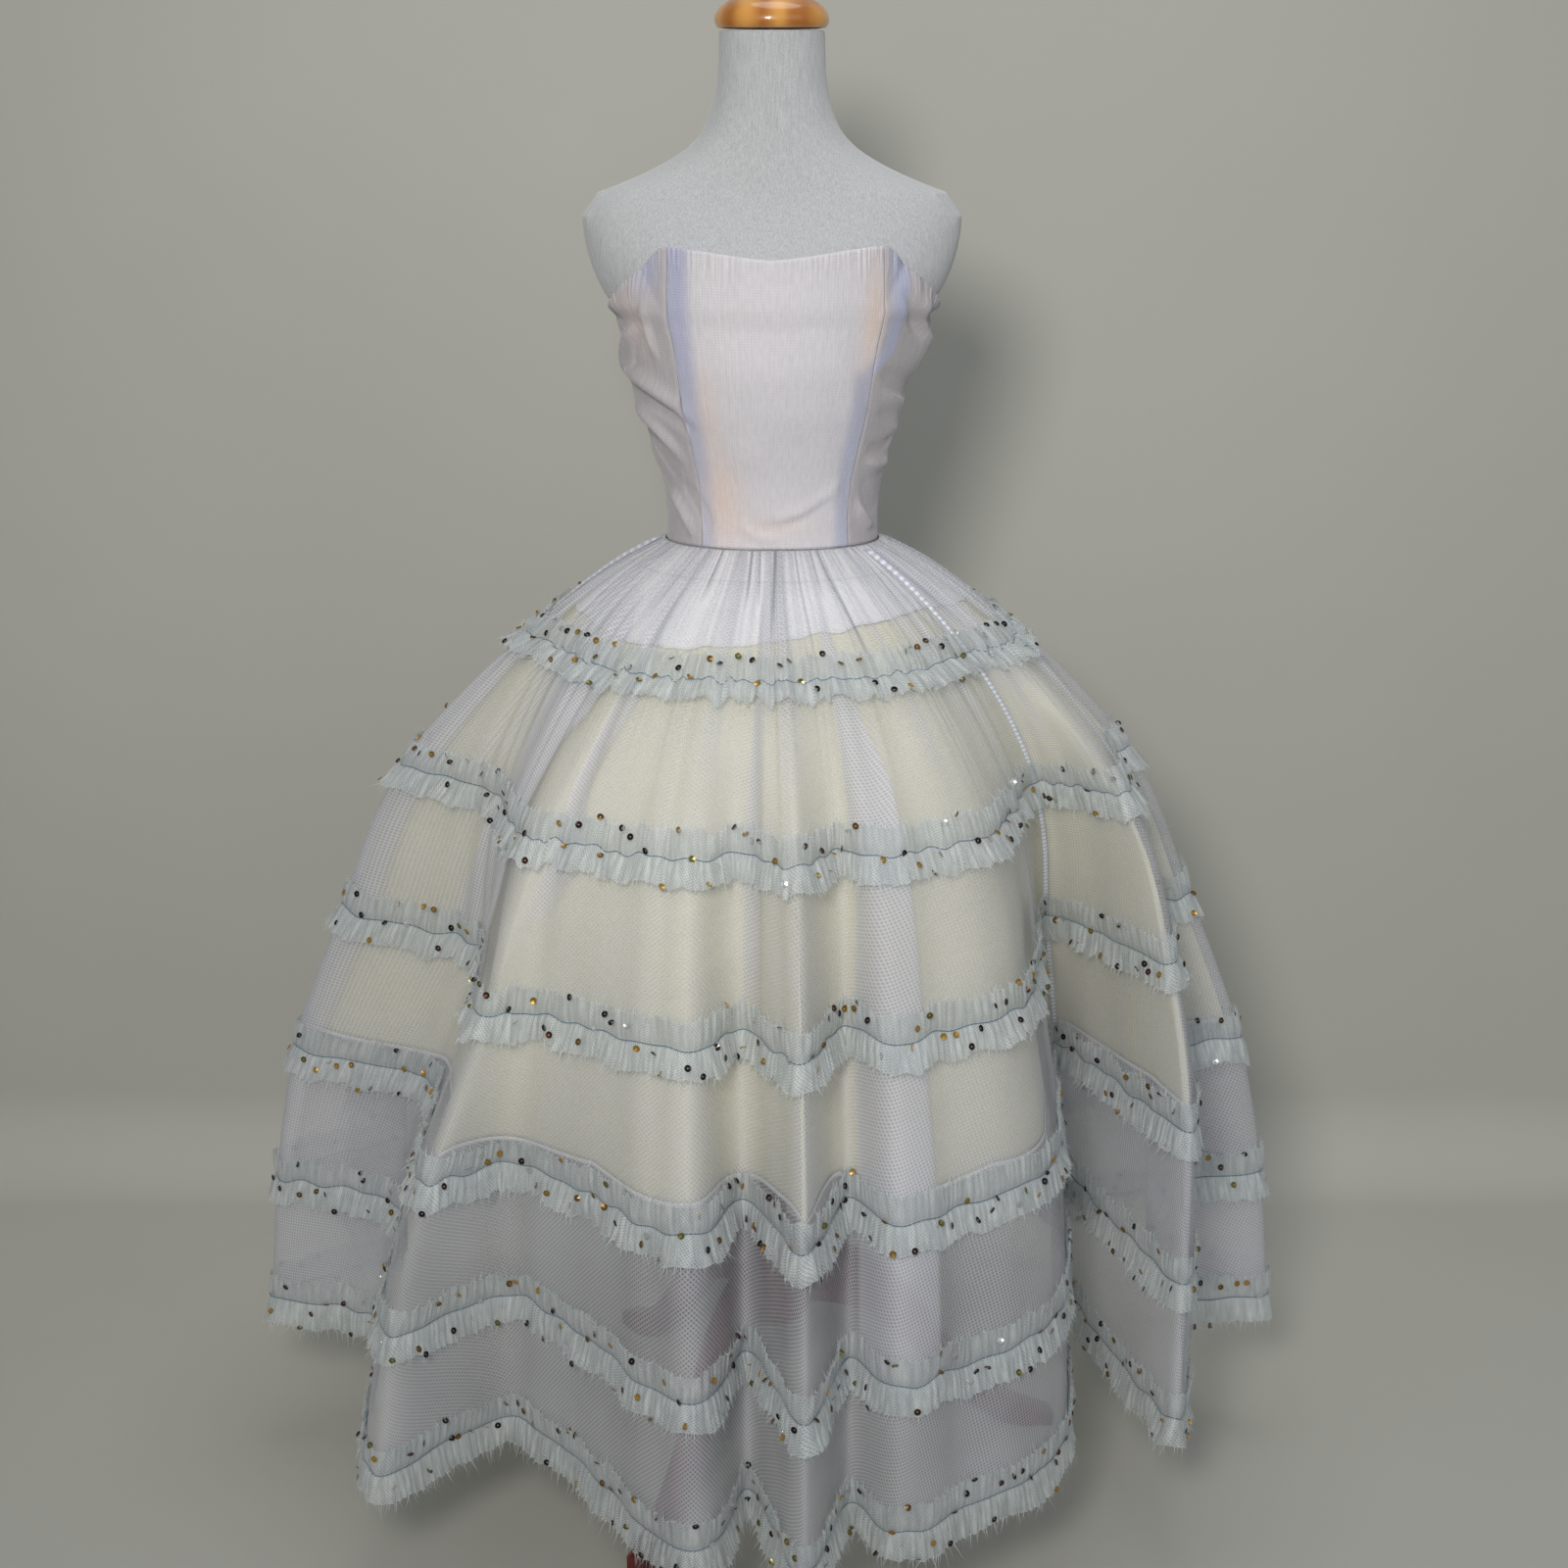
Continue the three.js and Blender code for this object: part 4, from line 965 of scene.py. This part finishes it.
# Bodice: five panels of crinkled chiffon, a gathered band under the top edge, and a lapped placket
bodice = {
    "wall": 1.5,
    "clothThickness": 0.8,
    # seams in degrees from the front; the placket lies further out, over the closing
    "panels": [
        {"name": "bodiceFront", "node": "bodice_front", "from": -39, "to": 43},
        {"name": "bodiceSideRight", "node": "bodice_side_right", "from": 43, "to": 92},
        {"name": "bodiceBackRight", "node": "bodice_back_right", "from": 92, "to": 180},
        {"name": "bodiceBackLeft", "node": "bodice_back_left", "from": 180, "to": 268},
        {"name": "bodiceSideLeft", "node": "bodice_side_left", "from": 268, "to": 321},
        {"name": "backPlacket", "node": "back_placket", "from": 171, "to": 189, "out": 1.85},
    ],
    "topEdge": [(0, 1330), (43, 1342), (55, 1320), (67, 1294), (80, 1276), (92, 1268), (135, 1262),
                (225, 1262), (268, 1262), (281, 1270), (293, 1288), (306, 1316), (321, 1341), (360, 1330)],
    # how far the cloth lies off the form at each height
    "ease": [(1040, 1.4), (1065, 1), (1100, 1), (1140, 2), (1185, 3.4), (1230, 3), (1262, 4.5), (1285, 7.5),
             (1350, 6)],
    # middle angle and height, half width round and up, height of each loose crease or puff
    "puffs": [(86, 1238, 17, 26, 14), (74, 1165, 12, 20, 4), (274, 1212, 22, 46, 7),
              (298, 1180, 11, 22, 4), (282, 1128, 14, 18, 4), (352, 1140, 9, 20, 2.5),
              (150, 1120, 14, 22, 4), (214, 1105, 14, 20, 4)],
    # creases from one angle and height to another, half width, height (a hollow is negative)
    "creases": [
        (-36, 1162, -88, 1200, 7, -5), (-36, 1176, -84, 1216, 9, 3.5), (-56, 1112, -88, 1168, 6, -5),
        (-46, 1128, -80, 1184, 7, 3.5), (-33, 1055, -50, 1104, 6, -3.5), (-44, 1050, -66, 1096, 7, 3),
        (-48, 1290, -50, 1230, 5, 2), (-60, 1262, -88, 1205, 6, 3), (-54, 1270, -70, 1215, 4, -2),
        (50, 1216, 92, 1196, 8, -8), (51, 1178, 90, 1172, 6, -4), (52, 1200, 80, 1188, 6, 2),
        (50, 1140, 74, 1148, 5, -3.5), (50, 1128, 78, 1124, 6, 3), (52, 1104, 76, 1074, 6, -3.5),
        (48, 1086, 66, 1056, 6, 3), (52, 1298, 76, 1246, 5, -2.5), (60, 1292, 84, 1240, 6, 3),
        (-8, 1058, 32, 1098, 6, -1.6), (-2, 1068, 36, 1108, 7, 1.6), (-16, 1066, 4, 1050, 5, 0.8),
        (120, 1100, 165, 1140, 8, 3), (118, 1086, 160, 1122, 7, -3), (-120, 1090, -160, 1130, 8, 3),
        (-116, 1076, -158, 1112, 7, -3), (110, 1190, 150, 1160, 9, 3), (-108, 1180, -150, 1160, 9, 3),
    ],
    # a degree of turn is about this many millimetres of cloth
    "perDegree": 2.1,
    "bustTop": 1262,
    "creaseScale": 2.5,
    "degreesPerColumn": 0.5,
    "rows": 90,
    # the gathered band under the top edge and how many ribs go round in it
    "bandHeight": 28,
    "bandRibs": 210,
    # the side tone is the front's chiffon painted darker and greyer, as painted shade on the side panels
    "tones": {"plain": "#e1dfe5", "side": "#c2bec2", "lavender": "#bec2da", "peach": "#ecdad1"},
    # the peach lining shows near the waist on the left and near the top on the right:
    # middle angle and height, half width round and up, strength
    "liningPatches": [(-24, 1090, 11, 48, 0.9), (38, 1272, 5, 52, 0.95), (-26, 1185, 6, 50, 0.5),
                      (-58, 1262, 8, 34, 0.4), (0, 1062, 20, 16, 0.4)],
}


def bodicePoints(degrees, height):
    wrapped = np.mod(degrees, 360)
    ease = smoothLine(bodice["ease"], height)
    lift = 0 * height
    for angle, z, wide, tall, size in bodice["puffs"]:
        turn, rise = (wrapped - angle) / wide, (height - z) / tall
        lift = lift + size * np.exp(-turn**2 - rise**2)
    points = formPoints(np.minimum(height, bodice["bustTop"]), np.radians(degrees), ease + lift, height)
    # above the bust the cloth leaves the form, but never lies inside it
    half = formSize(height, 1) + ease
    depth = np.where(points[..., 1] < 0, formSize(height, 2), formSize(height, 3)) + ease
    power = form["roundness"]
    reach = (np.abs(points[..., 0]) / half)**power + (np.abs(points[..., 1]) / depth)**power
    push = np.maximum(1, np.maximum(reach, 1e-6)**(-1 / power))
    points[..., :2] *= push[..., None]
    return points


def bodiceTop(degrees):
    return smoothLine(bodice["topEdge"], np.mod(degrees, 360))


# How far the creases move the cloth, each along its own line and fading at its ends
def creaseHeight(degrees, height):
    perDegree = bodice["perDegree"]
    x, total = (np.mod(degrees + 180, 360) - 180) * perDegree, 0 * height
    for fromAngle, fromZ, toAngle, toZ, width, size in bodice["creases"]:
        start, end = np.array([fromAngle * perDegree, fromZ]), np.array([toAngle * perDegree, toZ])
        line = end - start
        length = np.linalg.norm(line)
        along = ((x - start[0]) * line[0] + (height - start[1]) * line[1]) / length**2
        bow = 0.08 * length * np.sin(np.pi * np.clip(along, 0, 1))
        away = ((x - start[0]) * line[1] - (height - start[1]) * line[0]) / length - bow
        total = total + size * np.exp(-(away / width)**2) * np.exp(-((along - 0.5) / 0.42)**4)
    return total * bodice["creaseScale"]


# Fine upright crinkles all over, deeper ribs in the band under the top edge, and a few slanting drags
def bodiceCrinkle(degrees, height):
    around = np.mod(degrees, 360) / 360
    below = bodiceTop(degrees) - height
    ribs = unevenWaves(around, 60, 150, 61) * 0.12
    reach = bodice["bandHeight"] * (1 + 0.35 * unevenWaves(around, 9, 40, 65))
    band = np.clip(1.3 * (1 - below / reach), 0, 1)
    ribPhase = bodice["bandRibs"] * around + 0.6 * unevenWaves(around, 20, 60, 62)
    bandRibs = (0.5 + 0.5 * np.sin(2 * np.pi * ribPhase)) * (1.5 + 0.6 * unevenWaves(around, 30, 90, 66))
    drag = np.sin(height / 17 + 26 * around * np.pi + 2 * unevenWaves(around, 2, 7, 63))
    drag = drag * 0.7 * (0.5 + 0.5 * unevenWaves(around, 3, 9, 64)) * np.clip((height - 1045) / 30, 0, 1)
    return ribs + band * bandRibs + drag * (1 - band) + creaseHeight(degrees, height)


def mixTones(tone, other, share):
    share = share[..., None]
    return tone * (1 - share) + np.array(colour(bodice["tones"][other])) * share


def bodiceTone(degrees, height):
    wrapped = np.mod(degrees + 180, 360) - 180
    left, right = bodice["panels"][0]["from"], bodice["panels"][0]["to"]
    inFront = (wrapped > left) & (wrapped < right)
    # painted shade: the side panels take the darker side tone
    tone = mixTones(np.array(colour(bodice["tones"]["plain"])), "side", np.where(inFront, 0, 1))
    # seam allowances show through as bands along the front seams; the right one crosses its seam higher up
    fromSeam = np.where(wrapped < 0, wrapped - left, right - wrapped)
    over = np.where(wrapped > 0, np.clip((height - 1215) / 25, 0, 1), 0)
    inner, outer = 12.5 * (1 - over) - 0.5 * over, -12 * over + 0.2 * (1 - over)
    band = np.clip((fromSeam - outer) / 0.8, 0, 1) * np.clip((inner - fromSeam) / 5.5, 0, 1)
    corner = np.where(wrapped < 0, np.exp(-((wrapped + 49) / 6)**2 - ((height - 1322) / 22)**2), 0)
    band = np.maximum(band * (0.75 + 0.25 * np.clip((height - 1100) / 150, 0, 1)), corner)
    tone = mixTones(tone, "lavender", band)
    for angle, z, wide, tall, size in bodice["liningPatches"]:
        patch = size * np.exp(-((wrapped - angle) / wide)**2 - ((height - z) / tall)**2)
        tone = mixTones(tone, "peach", patch)
    return tone


def makeBodicePiece(panel):
    start, end = panel["from"], panel["to"]
    columns = int(round((end - start) / bodice["degreesPerColumn"]))
    degrees, share = np.meshgrid(np.linspace(start + 0.06, end - 0.06, columns + 1),
                                 np.linspace(1, 0, bodice["rows"]))
    bottom = skirt["waistHeight"] + 0.2
    height = bottom + (bodiceTop(degrees) - bottom) * share
    seam = np.minimum(degrees - start, end - degrees)
    rounded = -0.9 * np.exp(-(seam / 0.7)**2)
    crinkle = bodiceCrinkle(degrees, height)
    # a hollow stops at the form
    room = smoothLine(bodice["ease"], height) + 0.4
    crinkle = np.where(crinkle < 0, -room * np.tanh(-crinkle / room), crinkle)
    outwards = bodice["wall"] + panel.get("out", 0) + crinkle * np.clip(seam / 1.5, 0, 1) + rounded
    grid = bodicePoints(degrees, height)
    grid = grid + unit(np.stack([grid[..., 0], grid[..., 1], 0 * height], axis=-1)) * outwards[..., None]
    uv = np.stack([np.radians(degrees) * 0.125, height * mm], axis=-1)
    piece = clothPiece(panel["name"], grid, uv, {"tone": bodiceTone(degrees, height)})
    applyModifier(piece, "SOLIDIFY", thickness=bodice["clothThickness"] * mm, offset=-1)
    finish(piece, chiffon, [panel["node"]])


for bodicePanel in bodice["panels"]:
    makeBodicePiece(bodicePanel)
print("bodice made")


# Dress form: the jersey torso, its wooden neck cap, board, post and legs
def roundedCopy(node, name, bevel, levels=0, segments=2):
    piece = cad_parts[node].copy()
    piece.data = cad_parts[node].data.copy()
    piece.name = name
    piece.parent = None
    for key in list(piece.keys()):
        del piece[key]
    bpy.context.scene.collection.objects.link(piece)
    makeActive(piece)
    bpy.ops.object.mode_set(mode="EDIT")
    bpy.ops.mesh.select_all(action="SELECT")
    bpy.ops.mesh.remove_doubles(threshold=0.00002)
    bpy.ops.mesh.tris_convert_to_quads(face_threshold=math.radians(50), shape_threshold=math.radians(60))
    bpy.ops.object.mode_set(mode="OBJECT")
    applyModifier(piece, "BEVEL", width=bevel * mm, segments=segments, limit_method="ANGLE",
                  angle_limit=math.radians(35))
    if levels:
        applyModifier(piece, "SUBSURF", levels=levels, render_levels=levels)
    makeActive(piece)
    bpy.ops.object.shade_smooth_by_angle(angle=math.radians(40))
    return piece


torso = roundedCopy("dress_form", "formTorso", levels=2, bevel=2.5)
finish(torso, jersey, ["dress_form"])
for node, name in (("base_board", "formBoard"), ("post", "standPost"), ("hub", "standHub"),
                   ("leg_1", "standLeg_1"), ("leg_2", "standLeg_2"), ("leg_3", "standLeg_3")):
    finish(roundedCopy(node, name, bevel=2.2, segments=3), stainedMahogany, [node])

# The cap: a turned disc, its edge bead and low dome given as radius and height above the cap's bottom
neckCap = {
    "bottom": 1544.3,
    "rimRadius": 54.5,
    "rimHeight": 3,
    "profile": [(57, 6), (57, 12), (54.5, 18), (49, 24), (40, 29.5), (26, 34), (10, 36)],
}


def makeNeckCap():
    deselectAll()
    rim = neckCap["rimHeight"] * mm
    bpy.ops.mesh.primitive_cylinder_add(vertices=64, radius=neckCap["rimRadius"] * mm, depth=rim,
                                        location=(0, 0, neckCap["bottom"] * mm + rim / 2))
    piece = bpy.context.object
    piece.name = "formNeckCap"
    bpy.ops.object.transform_apply(location=True, rotation=True, scale=True)
    editFaces(piece, lambda normal: normal.z > 0.9)
    before, reached = neckCap["rimRadius"], neckCap["rimHeight"]
    for radius, height in neckCap["profile"]:
        bpy.ops.mesh.extrude_region_move(TRANSFORM_OT_translate={"value": (0, 0, (height - reached) * mm)})
        bpy.ops.transform.resize(value=(radius / before, radius / before, 1), center_override=(0, 0, 0))
        before, reached = radius, height
    bpy.ops.object.mode_set(mode="OBJECT")
    applyModifier(piece, "SUBSURF", levels=1, render_levels=1)
    bpy.ops.object.shade_smooth_by_angle(angle=math.radians(50))
    return piece


finish(makeNeckCap(), varnishedBeech, ["neck_cap"])
print("form and stand made")


# Studio: pale floor running up into a wall, soft lights, and the camera; sizes in metres
sweep = {"halfWidth": 5, "front": -6, "bend": 0.12, "depth": 0.72, "height": 4.5}
studioLights = {
    "keyLight": {"kind": "SPOT", "place": (-0.34, -2.85, 2.1), "aim": (0, 0, 1.2), "size": 0.55, "cone": 76,
                 "power": 196, "tint": "#fffaf4"},
    "fillLight": {"kind": "AREA", "place": (2.4, -2.4, 2.2), "aim": (0.2, 0.4, 0.9), "size": 2.4, "power": 9,
                  "tint": "#eef3ff"},
    "topLight": {"kind": "AREA", "place": (0.2, 0.3, 3.6), "aim": (0, 0, 0.85), "size": 2.0, "power": 22,
                 "tint": "#ffffff"},
}


def makeStudio():
    material = newMaterial("studioPaintedPaper", {"Roughness": 0.9, "Specular IOR Level": 0.2})
    place = addNode(material, "TexCoord", output="Object")
    cloud = addNode(material, "TexNoise", {"Scale": 1.5, "Detail": 3}, {"Vector": place})
    tint = addNode(material, "Mix", {"data_type": "RGBA", 6: colour("#bebeb6"), 7: colour("#c8c8c1")},
                   {0: cloud}, output=2)
    # the paper shows from its front alone, so that the dress is also seen from behind it and from below
    behind = addNode(material, "NewGeometry", output="Backfacing")
    shown = addNode(material, "Math", {"operation": "SUBTRACT", 0: 1.0}, {1: behind})
    linkShader(material, Base_Color=tint, Alpha=shown)
    bend, depth, half = sweep["bend"], sweep["depth"], sweep["halfWidth"]
    profile = [(sweep["front"], 0), (-2, 0), (depth - bend, 0)]
    profile += [(depth - bend + bend * math.sin(angle), bend - bend * math.cos(angle))
                for angle in np.linspace(0.1, math.pi / 2, 14)]
    profile += [(depth, sweep["height"])]
    grid = np.array([[(x / mm, y / mm, z / mm) for x in (half, -half)] for y, z in profile])
    backdrop = clothPiece("studioSweep", grid)
    backdrop.data.materials.append(material)
    for name, light in studioLights.items():
        lamp = bpy.data.lights.new(name, light["kind"])
        lamp.energy, lamp.color = light["power"], colour(light["tint"])[:3]
        if light["kind"] == "SPOT":
            lamp.shadow_soft_size, lamp.spot_blend = light["size"] / 2, 1
            lamp.spot_size = math.radians(light["cone"])
        else:
            lamp.shape, lamp.size = "DISK", light["size"]
        holder = bpy.data.objects.new(name, lamp)
        holder.location = light["place"]
        aim = np.array(light["aim"]) - np.array(light["place"])
        tilt = math.pi - math.acos(aim[2] / np.linalg.norm(aim))
        holder.rotation_euler = (tilt, 0, math.atan2(aim[1], aim[0]) - math.pi / 2)
        bpy.context.scene.collection.objects.link(holder)
    world = bpy.data.worlds.new("studioAir")
    world.use_nodes = True
    background = world.node_tree.nodes["Background"]
    background.inputs["Color"].default_value = colour("#e9edf2")
    background.inputs["Strength"].default_value = 0.3
    bpy.context.scene.world = world
    camera = bpy.data.cameras.new("photoCamera")
    camera.lens, camera.sensor_width = view["lens"], view["sensor"]
    holder = bpy.data.objects.new("photoCamera", camera)
    holder.location = view["place"]
    holder.rotation_euler = (math.radians(view["tilt"]), 0, 0)
    bpy.context.scene.collection.objects.link(holder)
    bpy.context.scene.camera = holder


makeStudio()
bpy.context.scene.view_settings.view_transform = "Standard"
print("studio made")
